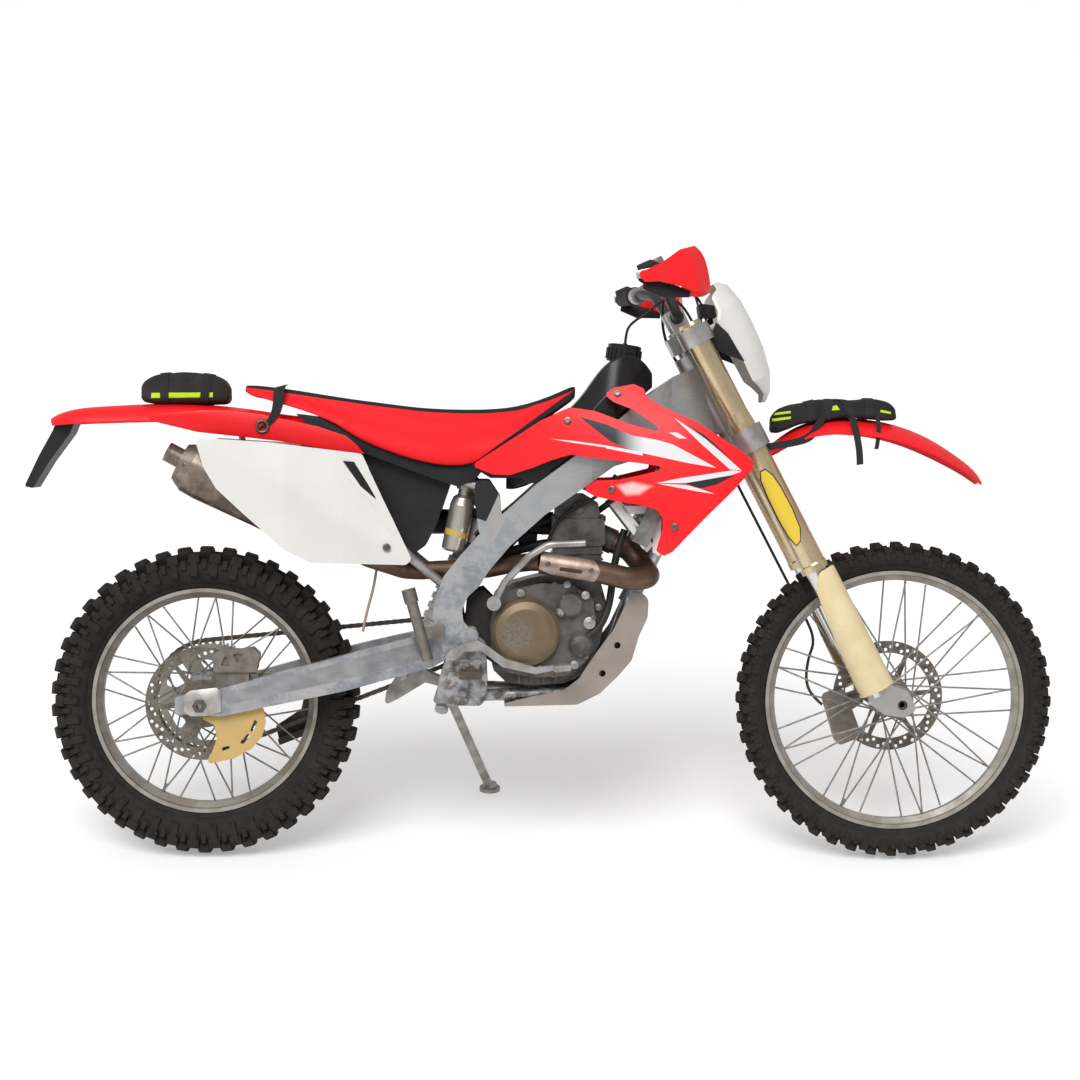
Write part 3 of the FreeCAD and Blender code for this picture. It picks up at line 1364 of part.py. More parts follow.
def triple_clamps():
    """Both clamps with the stem and the handlebar mounts."""
    lower = clamp(LOWER_CLAMP[0], LOWER_CLAMP[1], OUTER_TUBE_RADIUS, LEG_OFFSET + 26)
    upper = clamp(UPPER_CLAMP[0], UPPER_CLAMP[1], OUTER_TUBE_TOP_RADIUS, CLAMP_FRONT)
    stem = rod(fork(0, LOWER_CLAMP[0] - 6), fork(0, UPPER_CLAMP[1] + 8), STEM_RADIUS)
    mounts = []
    for y in (-46, 46):
        mounts.append(fork_plate(
            [(BAR_F - 18, UPPER_CLAMP[1] - 2), (BAR_F + 18, UPPER_CLAMP[1] - 2),
             (BAR_F + 20, BAR_S + 19), (BAR_F - 20, BAR_S + 19)],
            y - 13, y + 13, 6,
        ))
    over_fender = arched_loft(FRONT_FENDER[:4], -60, SEAT_GAP)
    for y in (-30, 30):
        mounts.append(rod(fork(60, 590, y), fork(60, 640, y), 10).cut(over_fender))
    body = fused([lower, upper, stem] + mounts)
    bar = rod(fork(BAR_F, BAR_S, -80), fork(BAR_F, BAR_S, 80), BAR_CLAMP_RADIUS + SEAT_GAP)
    return body.cut(bar)


def fork_outer_tubes():
    """The two gold outer tubes with their caps and seals."""
    legs = []
    thick, thin = OUTER_TUBE_RADIUS, OUTER_TUBE_TOP_RADIUS
    low, high = OUTER_TUBE_BOTTOM, OUTER_TUBE_TOP
    profile = [
        (0, low), (thick + 1.5, low), (thick + 1.5, low + 14), (thick, low + 18),
        (thick, LOWER_CLAMP[1] + 14), (thin, LOWER_CLAMP[1] + 40), (thin, high - 8),
        (thin - 3, high), (0, high),
    ]
    for y in (-LEG_SPACING, LEG_SPACING):
        leg = fork_turned(profile, LEG_OFFSET, y)
        socket = rod(fork(LEG_OFFSET, low - 5, y), fork(LEG_OFFSET, low + 60, y),
                     INNER_TUBE_RADIUS + SEAT_GAP)
        legs.append(leg.cut(socket))
    return Part.makeCompound(legs)


def fork_lower_tubes():
    """Chromed inner tubes, each with its axle lug."""
    legs = []
    outline = [(LEG_OFFSET - 27, 52), (LEG_OFFSET + 27, 52), (AXLE_OFFSET + 24, 20),
               (AXLE_OFFSET + 22, -22), (AXLE_OFFSET - 8, -26), (LEG_OFFSET - 12, 0),
               (LEG_OFFSET - 27, 30)]
    for sign in (-1, 1):
        low, high = sorted((sign * LEG_LUG_INNER, sign * LEG_LUG_OUTER))
        lug = fork_plate(outline, low, high, 10)
        inner = rod(fork(LEG_OFFSET, 40, sign * LEG_SPACING),
                    fork(LEG_OFFSET, OUTER_TUBE_BOTTOM + 58, sign * LEG_SPACING), INNER_TUBE_RADIUS)
        leg = fused([lug, inner])
        legs.append(leg.cut(cross_rod((FRONT_AXLE.x, FRONT_AXLE.z), -140, 140,
                                      AXLE_RADIUS + SEAT_GAP)))
    return Part.makeCompound(legs)


def fork_guards():
    """Moulded guards over the front and outside of the inner tubes."""
    outline = [(-10, 52.3), (66, 52.3), (78, 80), (72, 200), (70, 300), (70, 334), (LEG_OFFSET, 334),
               (6, 300), (-6, 180)]
    guards = []
    for sign in (-1, 1):
        centre_low = fork(LEG_OFFSET, 50, sign * LEG_SPACING)
        centre_high = fork(LEG_OFFSET, 340, sign * LEG_SPACING)
        shell = rod(centre_low, centre_high, 39).cut(rod(centre_low, centre_high, 35.5))
        low, high = sorted((sign * (LEG_SPACING - 8), sign * 150))
        shell = shell.common(fork_plate(outline, low, high, 14))
        seat_low = fork(LEG_OFFSET, 52 + SEAT_GAP, sign * LEG_SPACING)
        seat_high = fork(LEG_OFFSET, 58, sign * LEG_SPACING)
        floor = rod(seat_low, seat_high, 39).cut(rod(seat_low, seat_high, INNER_TUBE_RADIUS + 0.5))
        floor = floor.common(fork_plate([(-12, 50), (70, 50), (70, 60), (-12, 60)], low, high, 0.5))
        guards.append(fused([shell, floor]))
    return Part.makeCompound(guards)


def front_axle():
    """Hollow front spindle between the axle lugs."""
    point = (FRONT_AXLE.x, FRONT_AXLE.z)
    spindle = cross_rod(point, -LEG_LUG_OUTER + 8, LEG_LUG_OUTER - 4, AXLE_RADIUS)
    return spindle.cut(cross_rod(point, -140, 140, AXLE_BORE_RADIUS))


def bar_points(sign):
    """Route of half the handlebar from its middle to one end."""
    return [
        fork(BAR_F, BAR_S, 0), fork(BAR_F, BAR_S, sign * 88), fork(BAR_F - 2, BAR_S + 66, sign * 160),
        fork(BAR_F - 16, BAR_S + 82, sign * 212), fork(BAR_F - 50, BAR_S + 99, sign * BAR_HALF_WIDTH),
    ]


def handlebar():
    """Tapered bar, thick where it is clamped."""
    right = bar_points(-1)
    left = bar_points(1)
    bar = tube(list(reversed(right))[:-1] + left[1:], BAR_RADIUS, 60)
    middle = rod(fork(BAR_F, BAR_S, -72), fork(BAR_F, BAR_S, 72), BAR_CLAMP_RADIUS)
    return fused([bar, middle])


def bar_end(sign, inset=0.0):
    """Point on the bar near one end, inset along it."""
    points = bar_points(sign)
    run = points[-2] - points[-1]
    run.normalize()
    return points[-1] + run * inset


def grips():
    """Rubber grips with an inner collar."""
    pieces = []
    for sign in (-1, 1):
        outer = rod(bar_end(sign, 2), bar_end(sign, GRIP_LENGTH), GRIP_RADIUS)
        collar = rod(bar_end(sign, GRIP_LENGTH - 6), bar_end(sign, GRIP_LENGTH), GRIP_RADIUS + 5)
        bore = rod(bar_end(sign, -5), bar_end(sign, GRIP_LENGTH + 5), BAR_RADIUS + SEAT_GAP)
        pieces.append(fused([outer, collar]).cut(bore))
    return Part.makeCompound(pieces)


def controls():
    """Clutch and brake perches with their levers."""
    pieces = []
    for sign in (-1, 1):
        middle = bar_end(sign, GRIP_LENGTH + 20)
        start = bar_end(sign, GRIP_LENGTH + 6)
        end = bar_end(sign, GRIP_LENGTH + 34)
        perch = rod(start, end, BAR_RADIUS + 8)
        block = rod(middle, middle + FORWARD * 44 + UPWARD * 2, 13)
        tip = bar_end(sign, 8) + FORWARD * 66 - UPWARD * 6
        knee = bar_end(sign, GRIP_LENGTH - 20) + FORWARD * 56 - UPWARD * 2
        lever = tube([middle + FORWARD * 36, knee, tip], 5.5, 30)
        bore = rod(bar_end(sign, 0), bar_end(sign, GRIP_LENGTH + 60), BAR_RADIUS + SEAT_GAP)
        pieces.append(fused([perch, block, lever]).cut(bore))
    tank = rod(bar_end(-1, GRIP_LENGTH + 30) + FORWARD * 18 + UPWARD * 10,
               bar_end(-1, GRIP_LENGTH + 30) + FORWARD * 18 + UPWARD * 38, 17)
    perch_bar = rod(bar_end(-1, 0), bar_end(-1, GRIP_LENGTH + 60), BAR_RADIUS + SEAT_GAP)
    pieces[0] = fused([pieces[0], tank.cut(perch_bar)])
    return Part.makeCompound(pieces)


GUARD_PLAN = [(-8, 421), (40, 432), (92, 420), (122, 380), (126, 320), (112, 262), (78, 226)]
GUARD_LEVELS = ((-100, 0.74), (-72, 0.90), (-40, 0.98), (-12, 1.0), (12, 0.93), (26, 0.84))
GUARD_OUTLINE = [
    (-10, -11), (-8, 8), (44, 7), (82, 13), (114, 8), (134, -9), (145, -42), (144, -73),
    (126, -90), (96, -88), (70, -71), (40, -41), (16, -23),
]
GUARD_THICKNESS = 3.5


def guard_shell(sign, base_f, base_s):
    """Bulged shell of one hand guard before its outline is cut."""
    wires = []
    for rise, reach in GUARD_LEVELS:
        outer = [(f * reach, y) for f, y in GUARD_PLAN]
        inner = []
        for i, (f, y) in enumerate(outer):
            back = GUARD_THICKNESS if i > 1 else 0
            inward = GUARD_THICKNESS if i < 4 else 0
            inner.append((f - back, y - inward))
        ring = [fork(base_f + f, base_s + rise, sign * y) for f, y in outer + inner[::-1]]
        wires.append(Part.makePolygon(ring + [ring[0]]))
    return loft(wires)


def hand_guards():
    """Moulded shields ahead of the grips, held at the bar ends."""
    pieces = []
    for sign in (-1, 1):
        end = bar_end(sign)
        base_f, base_s = fork_of(end.x, end.z)
        outline = [(base_f + f, base_s + s) for f, s in GUARD_OUTLINE]
        low, high = sorted((sign * 200, sign * 450))
        shield = guard_shell(sign, base_f, base_s).common(fork_plate(outline, low, high, 6))
        outward = end - bar_end(sign, 1)
        plug = rod(end + outward * SEAT_GAP, end + outward * 17, 9)
        pieces.append(fused([shield, plug]))
    return Part.makeCompound(pieces)


PLATE_AXIS_F = 44.6
CLAMP_FRONT = LEG_OFFSET + 24


def number_plate():
    """Moulded front plate, curved round the fork."""
    skin = 3.0
    outer = [(58, 694), (82, 716), (100, 751), (111, 805), (114.4, 864), (113, 917), (103, 959),
             (83, 976)]
    profile = outer + [(radius - skin, s) for radius, s in reversed(outer)]
    shell = fork_turned(profile, PLATE_AXIS_F, 0)
    outline = [(-36, 700), (36, 700), (84, 752), (102, 830), (104, 900), (88, 952), (40, 974),
               (-40, 974), (-88, 952), (-104, 900), (-102, 830), (-84, 752)]
    corners = [fork(PLATE_AXIS_F + 24, s, y) for y, s in outline]
    front = Part.Face(rounded_loop(corners, 20)).extrude(FORWARD * 120)
    stays = [rod(fork(CLAMP_FRONT + SEAT_GAP, 893, y), fork(PLATE_AXIS_F + 107.5, 893, y), 6)
             for y in (-30, 30)]
    return fused([shell.common(front)] + stays)


def meter():
    """Small trip meter ahead of the handlebar, on a bracket."""
    body = fork_plate([(62, 925), (92, 905), (100, 932), (72, 952)], -32, 32, 5)
    stalk = fork_plate([(CLAMP_FRONT + SEAT_GAP, 886), (CLAMP_FRONT + 26, 886), (88, 912),
                        (CLAMP_FRONT + SEAT_GAP, 912)], -10, 10, 0.5)
    return fused([body, stalk])


def front_brake():
    """Front calliper on the left leg."""
    gap = 5.2
    low = FRONT_DISC_Y - DISC_THICKNESS / 2 - gap
    high = FRONT_DISC_Y + DISC_THICKNESS / 2 + gap
    spot = [(AXLE_OFFSET - 150, -46), (AXLE_OFFSET - 92, -52), (AXLE_OFFSET - 78, 62),
            (AXLE_OFFSET - 128, 66)]
    body = fork_plate(spot, 50, 92, 12)
    slot = turned([(50, low), (DISC_RADIUS + 6, low), (DISC_RADIUS + 6, high), (50, high)], FRONT_AXLE)
    arm = fork_plate([(AXLE_OFFSET - 110, 4), (LEG_OFFSET - 20, 10), (LEG_OFFSET - 20, 40),
                      (AXLE_OFFSET - 110, 46)], high, 96, 5)
    lug = fork_lower_tubes()
    return fused([body.cut(slot), arm]).cut(lug)


HOSE_ROUTE = [
    (-75.7, 45.2, 84), (-87, 72, 88), (-84, 106, 98), (-56, 146, 108), (-22, 176, 110),
    (-19, 240, 104), (-19, 420, 103), (-19, 650, 103), (-8, 710, 103), (-8, 830, 101),
    (-18, 872, 98), (-15, 930, 92),
    (10, 986, 60), (30, 1010, 10), (36, 1020, -70), (28, 1031, -150), (20, 1031, -252.2),
]


def brake_hose():
    """Hose from the master cylinder on the bar down to the front calliper."""
    return tube([fork(*point) for point in HOSE_ROUTE], HOSE_RADIUS, 45)


# Side stand

def upright(point):
    """Point of the leaned machine, turned back to the upright machine."""
    y, z = point.y, point.z
    return V(point.x, y * math.cos(LEAN) - z * math.sin(LEAN), y * math.sin(LEAN) + z * math.cos(LEAN))


def leaned(point):
    """Point of the upright machine once it is leaned."""
    y, z = point.y, point.z
    return V(point.x, y * math.cos(LEAN) + z * math.sin(LEAN), -y * math.sin(LEAN) + z * math.cos(LEAN))


def ground_height(tyres):
    """Height of the ground under the leaned tyres."""
    turn = FreeCAD.Rotation(V(1, 0, 0), -math.degrees(LEAN))
    lowest = []
    for shape in tyres:
        copy = shape.copy()
        copy.Placement = FreeCAD.Placement(V(0, 0, 0), turn)
        lowest.append(min(vertex.Point.z for vertex in copy.Vertexes))
    return min(lowest)


def side_stand(ground):
    """Leg from the left pivot plate to a round foot flat on the ground."""
    pivot = V(*STAND_PIVOT)
    foot = V(STAND_FOOT[0], STAND_FOOT[1], ground)
    ankle = upright(foot + V(0, 0, 6))
    leg = rod(pivot, ankle, STAND_RADIUS)
    reach = STAND_AXIS * STAND_EYE_HALF
    eye = rod(pivot - reach, pivot + reach, STAND_EYE_RADIUS)
    up = upright(V(0, 0, 1))
    pad = Part.makeCylinder(STAND_FOOT_RADIUS, 8, upright(foot), up)
    heel = Part.makeCylinder(16, 18, upright(foot), up)
    return fused([leg, eye, pad, heel])


def build():
    """All pieces of the upright machine by node name."""
    front_tyre = tyre(FRONT_AXLE, FRONT_TYRE_RADIUS, FRONT_TYRE_WIDTH, FRONT_RIM_RADIUS,
                      FRONT_RIM_WIDTH, LUG_ROWS)
    rear_tyre = tyre(REAR_AXLE, REAR_TYRE_RADIUS, REAR_TYRE_WIDTH, REAR_RIM_RADIUS,
                     REAR_RIM_WIDTH, LUG_ROWS)
    ground = ground_height([front_tyre, rear_tyre])
    return {
        "main_frame": main_frame(),
        "subframe": subframe(),
        "swingarm": swingarm(),
        "rear_axle": rear_axle(),
        "shock_absorber": shock_absorber(),
        "shock_reservoir": reservoir(),
        "linkage": linkage(),
        "crankcase": crankcase(),
        "drive_pinion": pinion(),
        "clutch_cover": clutch_cover(),
        "cylinder": cylinder(),
        "carburettor": carburettor(),
        "airbox": airbox(),
        "radiators": radiators(),
        "exhaust_pipe": exhaust_pipe(),
        "heat_shield": heat_shield(),
        "silencer": silencer(),
        "seat": seat(),
        "fuel_tank": fuel_tank(),
        "shroud_right": shroud(-1),
        "shroud_left": shroud(1),
        "side_panel_right": side_panel(-1),
        "side_panel_left": side_panel(1),
        "rear_fender": rear_fender(),
        "tail_bracket": tail_bracket(),
        "tail_bag": tail_bag(),
        "skid_plate": skid_plate(),
        "footpegs": footpegs(),
        "brake_pedal": brake_pedal(),
        "gear_lever": gear_lever(),
        "kick_lever": kick_lever(),
        "rear_brake": rear_brake(),
        "disc_guard": disc_guard(),
        "chain": chain(),
        "chain_guide": chain_guide(),
        "triple_clamps": triple_clamps(),
        "fork_outer_tubes": fork_outer_tubes(),
        "fork_lower_tubes": fork_lower_tubes(),
        "fork_guards": fork_guards(),
        "front_axle": front_axle(),
        "handlebar": handlebar(),
        "grips": grips(),
        "controls": controls(),
        "hand_guards": hand_guards(),
        "number_plate": number_plate(),
        "meter": meter(),
        "front_fender": front_fender(),
        "tool_roll": tool_roll(),
        "front_brake": front_brake(),
        "brake_hose": brake_hose(),
        "front_tyre": front_tyre,
        "front_rim": rim(FRONT_AXLE, FRONT_RIM_RADIUS, FRONT_RIM_WIDTH),
        "front_hub": front_hub(),
        "front_disc": brake_disc(FRONT_AXLE, FRONT_DISC_Y, 46, 16 + SEAT_GAP),
        "rear_tyre": rear_tyre,
        "rear_rim": rim(REAR_AXLE, REAR_RIM_RADIUS, REAR_RIM_WIDTH),
        "rear_hub": rear_hub(),
        "rear_disc": brake_disc(REAR_AXLE, REAR_DISC_Y, 50, 17 + SEAT_GAP),
        "rear_sprocket": rear_sprocket(),
        "side_stand": side_stand(ground),
    }


def parked(shapes):
    """The same pieces leaned over, with the origin under the middle."""
    turn = FreeCAD.Placement(V(0, 0, 0), FreeCAD.Rotation(V(1, 0, 0), -math.degrees(LEAN)))
    leaning = {name: shape.transformed(turn.toMatrix()) for name, shape in shapes.items()}
    box = FreeCAD.BoundBox()
    for shape in leaning.values():
        box.add(shape.optimalBoundingBox(False))
    shift = V(-(box.XMin + box.XMax) / 2, -(box.YMin + box.YMax) / 2, -box.ZMin)
    for shape in leaning.values():
        shape.translate(shift)
    return leaning, shift


def main():
    """Build every piece and write one STEP file for each."""
    os.makedirs("parts", exist_ok=True)
    pieces, _ = parked(build())
    for name, shape in pieces.items():
        shape.exportStep("parts/" + name + ".step")
        print(name, len(shape.Solids), round(shape.Volume / 1000, 1), "cm3")


if __name__ == "__main__":
    main()
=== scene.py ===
import json
import logging
import math
from collections.abc import Callable, Sequence
from dataclasses import dataclass, replace
from enum import Enum

import bmesh
import bpy
from mathutils import Matrix, Vector, noise


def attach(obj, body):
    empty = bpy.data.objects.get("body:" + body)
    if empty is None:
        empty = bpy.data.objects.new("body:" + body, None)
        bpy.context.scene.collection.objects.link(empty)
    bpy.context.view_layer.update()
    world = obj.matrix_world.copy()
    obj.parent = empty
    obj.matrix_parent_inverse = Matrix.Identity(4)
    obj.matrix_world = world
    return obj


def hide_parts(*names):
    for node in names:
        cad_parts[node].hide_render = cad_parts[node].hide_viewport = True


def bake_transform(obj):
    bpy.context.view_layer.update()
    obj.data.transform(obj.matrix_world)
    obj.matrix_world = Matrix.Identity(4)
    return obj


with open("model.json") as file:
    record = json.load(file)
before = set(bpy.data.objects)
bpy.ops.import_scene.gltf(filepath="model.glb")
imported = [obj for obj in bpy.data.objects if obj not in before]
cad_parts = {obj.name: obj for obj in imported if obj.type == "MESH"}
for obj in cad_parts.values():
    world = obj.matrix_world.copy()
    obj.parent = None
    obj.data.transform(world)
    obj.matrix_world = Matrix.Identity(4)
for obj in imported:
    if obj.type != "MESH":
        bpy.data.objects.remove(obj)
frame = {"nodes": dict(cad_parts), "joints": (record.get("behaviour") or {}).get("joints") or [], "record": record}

Colour = tuple[float, float, float]
Point = tuple[float, float, float]
Pair = tuple[float, float]

log = logging.getLogger("motorcycle")


class Body(Enum):
    """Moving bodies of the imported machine."""

    CHASSIS = "chassis"
    FORK = "fork"
    FRONT = "front_wheel"
    REAR = "rear_wheel"
    STAND = "side_stand"


# Frames. Sizes are millimetres, on the upright machine or along its steering axis.

MILLI = Matrix.Scale(0.001, 4)
LEAN = math.radians(12.0)
RAKE = math.radians(27.9)
REAR_AXLE = Vector((0, 0, 330))
FRONT_AXLE = Vector((1481, 0, 341))
STEER_FOOT = Vector((1428.24, 0, 313.06))


def joint_place(name: str) -> Vector:
    """Place of a packed joint in the row frame, in metres.

    Args:
        name: The joint's name.

    Returns:
        The place.
    """
    for joint in frame["joints"]:
        if joint["name"] == name:
            return Vector(joint["pos_m"])
    raise KeyError(name)


LEANED = Matrix.Rotation(-LEAN, 4, "X")
SHIFT = joint_place("rear_wheel_spin") - LEANED @ (REAR_AXLE * 0.001)
MACHINE = Matrix.Translation(SHIFT) @ LEANED
STEERED = MACHINE @ Matrix.Translation(STEER_FOOT * 0.001) @ Matrix.Rotation(-RAKE, 4, "Y")


# Shader sockets


@dataclass(frozen=True)
class Value:
    """One output socket of a shader graph, which Python operators extend."""

    graph: "Graph"
    socket: bpy.types.NodeSocket

    def __add__(self, other: "Value | float") -> "Value":
        """Sum of two values."""
        return self.graph.math("ADD", self, other)

    def __radd__(self, other: float) -> "Value":
        """Sum with a number on the left."""
        return self.graph.math("ADD", other, self)

    def __sub__(self, other: "Value | float") -> "Value":
        """Difference of two values."""
        return self.graph.math("SUBTRACT", self, other)

    def __rsub__(self, other: float) -> "Value":
        """Difference from a number on the left."""
        return self.graph.math("SUBTRACT", other, self)

    def __mul__(self, other: "Value | float") -> "Value":
        """Product of two values."""
        return self.graph.math("MULTIPLY", self, other)

    def __rmul__(self, other: float) -> "Value":
        """Product with a number on the left."""
        return self.graph.math("MULTIPLY", other, self)

    def least(self, other: "Value | float") -> "Value":
        """Smaller of two values."""
        return self.graph.math("MINIMUM", self, other)

    def most(self, other: "Value | float") -> "Value":
        """Larger of two values."""
        return self.graph.math("MAXIMUM", self, other)

    def size(self) -> "Value":
        """Value without its sign."""
        return self.graph.math("ABSOLUTE", self, 0.0)

    def band(self, start: float, end: float) -> "Value":
        """Smooth step from 0 at start to 1 at end.

        Args:
            start: Where it leaves 0.
            end: Where it reaches 1.

        Returns:
            The step.
        """
        inputs = {"Value": self, "From Min": start, "From Max": end}
        smooth = {"interpolation_type": "SMOOTHSTEP"}
        return self.graph.node("ShaderNodeMapRange", smooth, inputs)


class Graph:
    """Node tree of one material or world."""

    def __init__(self, owner: bpy.types.Material | bpy.types.World) -> None:
        """Starts with an empty tree.

        Args:
            owner: What the tree belongs to.
        """
        owner.use_nodes = True
        self.owner = owner
        self.tree = owner.node_tree
        self.tree.nodes.clear()

    def raw(self, kind: str, settings: dict, inputs: dict) -> bpy.types.Node:
        """Adds one node.

        Args:
            kind: The node's type.
            settings: Attributes set before the sockets; "line" fills a curve.
            inputs: Socket names or numbers with values or links.

        Returns:
            The new node.
        """
        node = self.tree.nodes.new(kind)
        for key, setting in settings.items():
            if key == "line":
                spots = node.mapping.curves[0].points
                for spot, place in zip(spots, (setting[0], setting[-1])):
                    spot.location = place
                for place in setting[1:-1]:
                    spots.new(*place)
                node.mapping.update()
            else:
                setattr(node, key, setting)
        for key, given in inputs.items():
            if isinstance(given, Value):
                self.tree.links.new(given.socket, node.inputs[key])
            elif isinstance(given, tuple) and len(given) == 3 and node.inputs[key].type == "RGBA":
                node.inputs[key].default_value = (*given, 1)
            else:
                node.inputs[key].default_value = given
        return node

    def node(self, kind: str, settings: dict, inputs: dict, output: int | str = 0) -> Value:
        """Adds one node and wraps one of its outputs.

        Args:
            kind: The node's type.
            settings: Attributes set before the sockets.
            inputs: Socket names or numbers with values or links.
            output: The output to wrap.

        Returns:
            The wrapped output.
        """
        return Value(self, self.raw(kind, settings, inputs).outputs[output])

    def math(self, operation: str, first: Value | float, second: Value | float) -> Value:
        """Joins two values by one operation."""
        return self.node("ShaderNodeMath", {"operation": operation}, {0: first, 1: second})

    def mix(self, share: Value | float, low: Value | Colour, high: Value | Colour) -> Value:
        """Blends two colours."""
        inputs = {0: share, 6: low, 7: high}
        return self.node("ShaderNodeMix", {"data_type": "RGBA"}, inputs, 2)

    def dot(self, point: Value, course: Point) -> Value:
        """Length of a vector along a course."""
        settings = {"operation": "DOT_PRODUCT"}
        return self.node("ShaderNodeVectorMath", settings, {0: point, 1: course}, "Value")

    def place(self, space: Matrix) -> Value:
        """Object coordinates read in another frame, in metres.

        Args:
            space: The frame's own matrix in the row frame.

        Returns:
            The coordinates as a vector.
        """
        back = space.inverted()
        point = self.node("ShaderNodeTexCoord", {}, {}, "Object")
        turned = {
            "Vector": point,
            "Location": tuple(back.to_translation()),
            "Rotation": tuple(back.to_euler()),
        }
        return self.node("ShaderNodeMapping", {"vector_type": "POINT"}, turned)

    def axes(self, point: Value) -> tuple[Value, Value, Value]:
        """Three parts of a vector."""
        parts = self.raw("ShaderNodeSeparateXYZ", {}, {0: point}).outputs
        return Value(self, parts[0]), Value(self, parts[1]), Value(self, parts[2])

    def noise(self, point: Value, size: float, detail: float = 4.0, rough: float = 0.55) -> Value:
        """Cloudy pattern from 0 to 1.

        Args:
            point: Coordinates in metres.
            size: Width of its patches in metres.
            detail: How many finer layers it has.
            rough: How strong the finer layers are.

        Returns:
            The pattern.
        """
        inputs = {"Vector": point, "Scale": 1 / size, "Detail": detail, "Roughness": rough}
        return self.node("ShaderNodeTexNoise", {}, inputs, "Fac")

    def streaks(self, point: Value, course: Point, size: float) -> Value:
        """Cloudy pattern drawn out along a course of the machine.

        Args:
            point: Coordinates in metres.
            course: Stretch of the pattern along each axis.
            size: Width of its patches in metres.

        Returns:
            The pattern.
        """
        inputs = {0: point, 1: course}
        spread = self.node("ShaderNodeVectorMath", {"operation": "MULTIPLY"}, inputs)
        return self.noise(spread, size)

    def line(self, value: Value, points: Sequence[Pair]) -> Value:
        """Height of a smooth line over a value.

        Args:
            value: Where it is read, in metres.
            points: Places and heights along it in millimetres.

        Returns:
            The height in metres.
        """
        start, end = points[0][0], points[-1][0]
        low = min(height for _, height in points)
        high = max(height for _, height in points)
        spots = [((x - start) / (end - start), (z - low) / (high - low)) for x, z in points]
        share = (value - start * 0.001) * (1000 / (end - start))
        found = self.node("ShaderNodeFloatCurve", {"line": spots}, {"Value": share})
        return found * ((high - low) * 0.001) + low * 0.001

    def patch(self, point: Value, outline: Sequence[Pair], edge: float = 0.0006) -> Value:
        """Mask inside a convex outline on the machine's side.

        Args:
            point: Coordinates in metres.
            outline: Corners (x, z) in millimetres, in order.
            edge: Width of its soft border in metres.

        Returns:
            1 inside and 0 outside.
        """
        sides = list(zip(outline, [*outline[1:], outline[0]]))
        turn = math.copysign(1.0, sum(x0 * z1 - x1 * z0 for (x0, z0), (x1, z1) in sides))
        inside: Value | None = None
        for (x0, z0), (x1, z1) in sides:
            length = math.hypot(x1 - x0, z1 - z0)
            across = (-(z1 - z0) / length * turn, 0.0, (x1 - x0) / length * turn)
            offset = (across[0] * x0 + across[2] * z0) * 0.001
            depth = self.dot(point, across) - offset
            inside = depth if inside is None else inside.least(depth)
        return inside.band(-edge / 2, edge / 2)


# Finishes

DUST: Colour = (0.33, 0.25, 0.17)


@dataclass(frozen=True)
class Coat:
    """What a finish has worked out for its surface."""

    colour: Value
    rough: Value
    height: Value
    metal: Value | float


@dataclass(frozen=True)
class Finish:
    """A weathered surface. Colours are linear and sizes are metres."""

    slot: str
    colour: Colour
    shade: Colour
    roughness: float = 0.5
    metallic: float = 0.0
    coat: float = 0.0
    mottle: float = 0.4
    spread: float = 0.05
    dust: float = 0.35
    reach: float = 0.75
    grain: float = 0.0006
    depth: float = 0.1
    shine: float = 0.5

    def space(self) -> Matrix:
        """Frame that the pattern is read in."""
        return MACHINE

    def pattern(self, graph: Graph, point: Value, coat: Coat) -> Coat:
        """Marks of the single finish; plain ones have none."""
        return coat

    def material(self) -> bpy.types.Material:
        """Material of this finish, made once.

        Returns:
            The material, with its whole node tree.
        """
        made = bpy.data.materials.get(f"finish_{self.slot}")
        if made is not None:
            return made
        graph = Graph(bpy.data.materials.new(f"finish_{self.slot}"))
        point = graph.place(self.space())
        upright = graph.place(MACHINE)
        cloud = graph.noise(point, self.spread)
        fine = graph.noise(point, self.grain, 2.0)
        worn = cloud.band(0.35, 0.7) * self.mottle
        colour = graph.mix(worn, self.colour, self.shade)
        rough = self.roughness + (cloud - 0.5) * 0.16 + (fine - 0.5) * 0.06
        coat = Coat(colour, rough, fine, self.metallic)
        coat = self.pattern(graph, point, coat)
        _, _, height = graph.axes(upright)
        low = height.band(self.reach, 0.05)
        grit = graph.noise(upright, 0.03, 6.0, 0.65).band(0.38, 0.72)
        dusty = (low * (0.35 + grit * 0.65)) * self.dust
        colour = graph.mix(dusty, coat.colour, DUST)
        rough = coat.rough + dusty * 0.35
        metal = (1 - dusty) * coat.metal
        relief = {"Strength": self.depth, "Distance": 0.001, "Height": coat.height}
        bump = graph.node("ShaderNodeBump", {}, relief)
        shader = graph.node(
            "ShaderNodeBsdfPrincipled", {},
            {
                "Base Color": colour,
                "Roughness": rough,
                "Metallic": metal,
                "Specular IOR Level": self.shine,
                "Coat Weight": self.coat,
                "Coat Roughness": 0.08,
                "Normal": bump,
            },
        )
        graph.raw("ShaderNodeOutputMaterial", {}, {"Surface": shader})
        return graph.owner


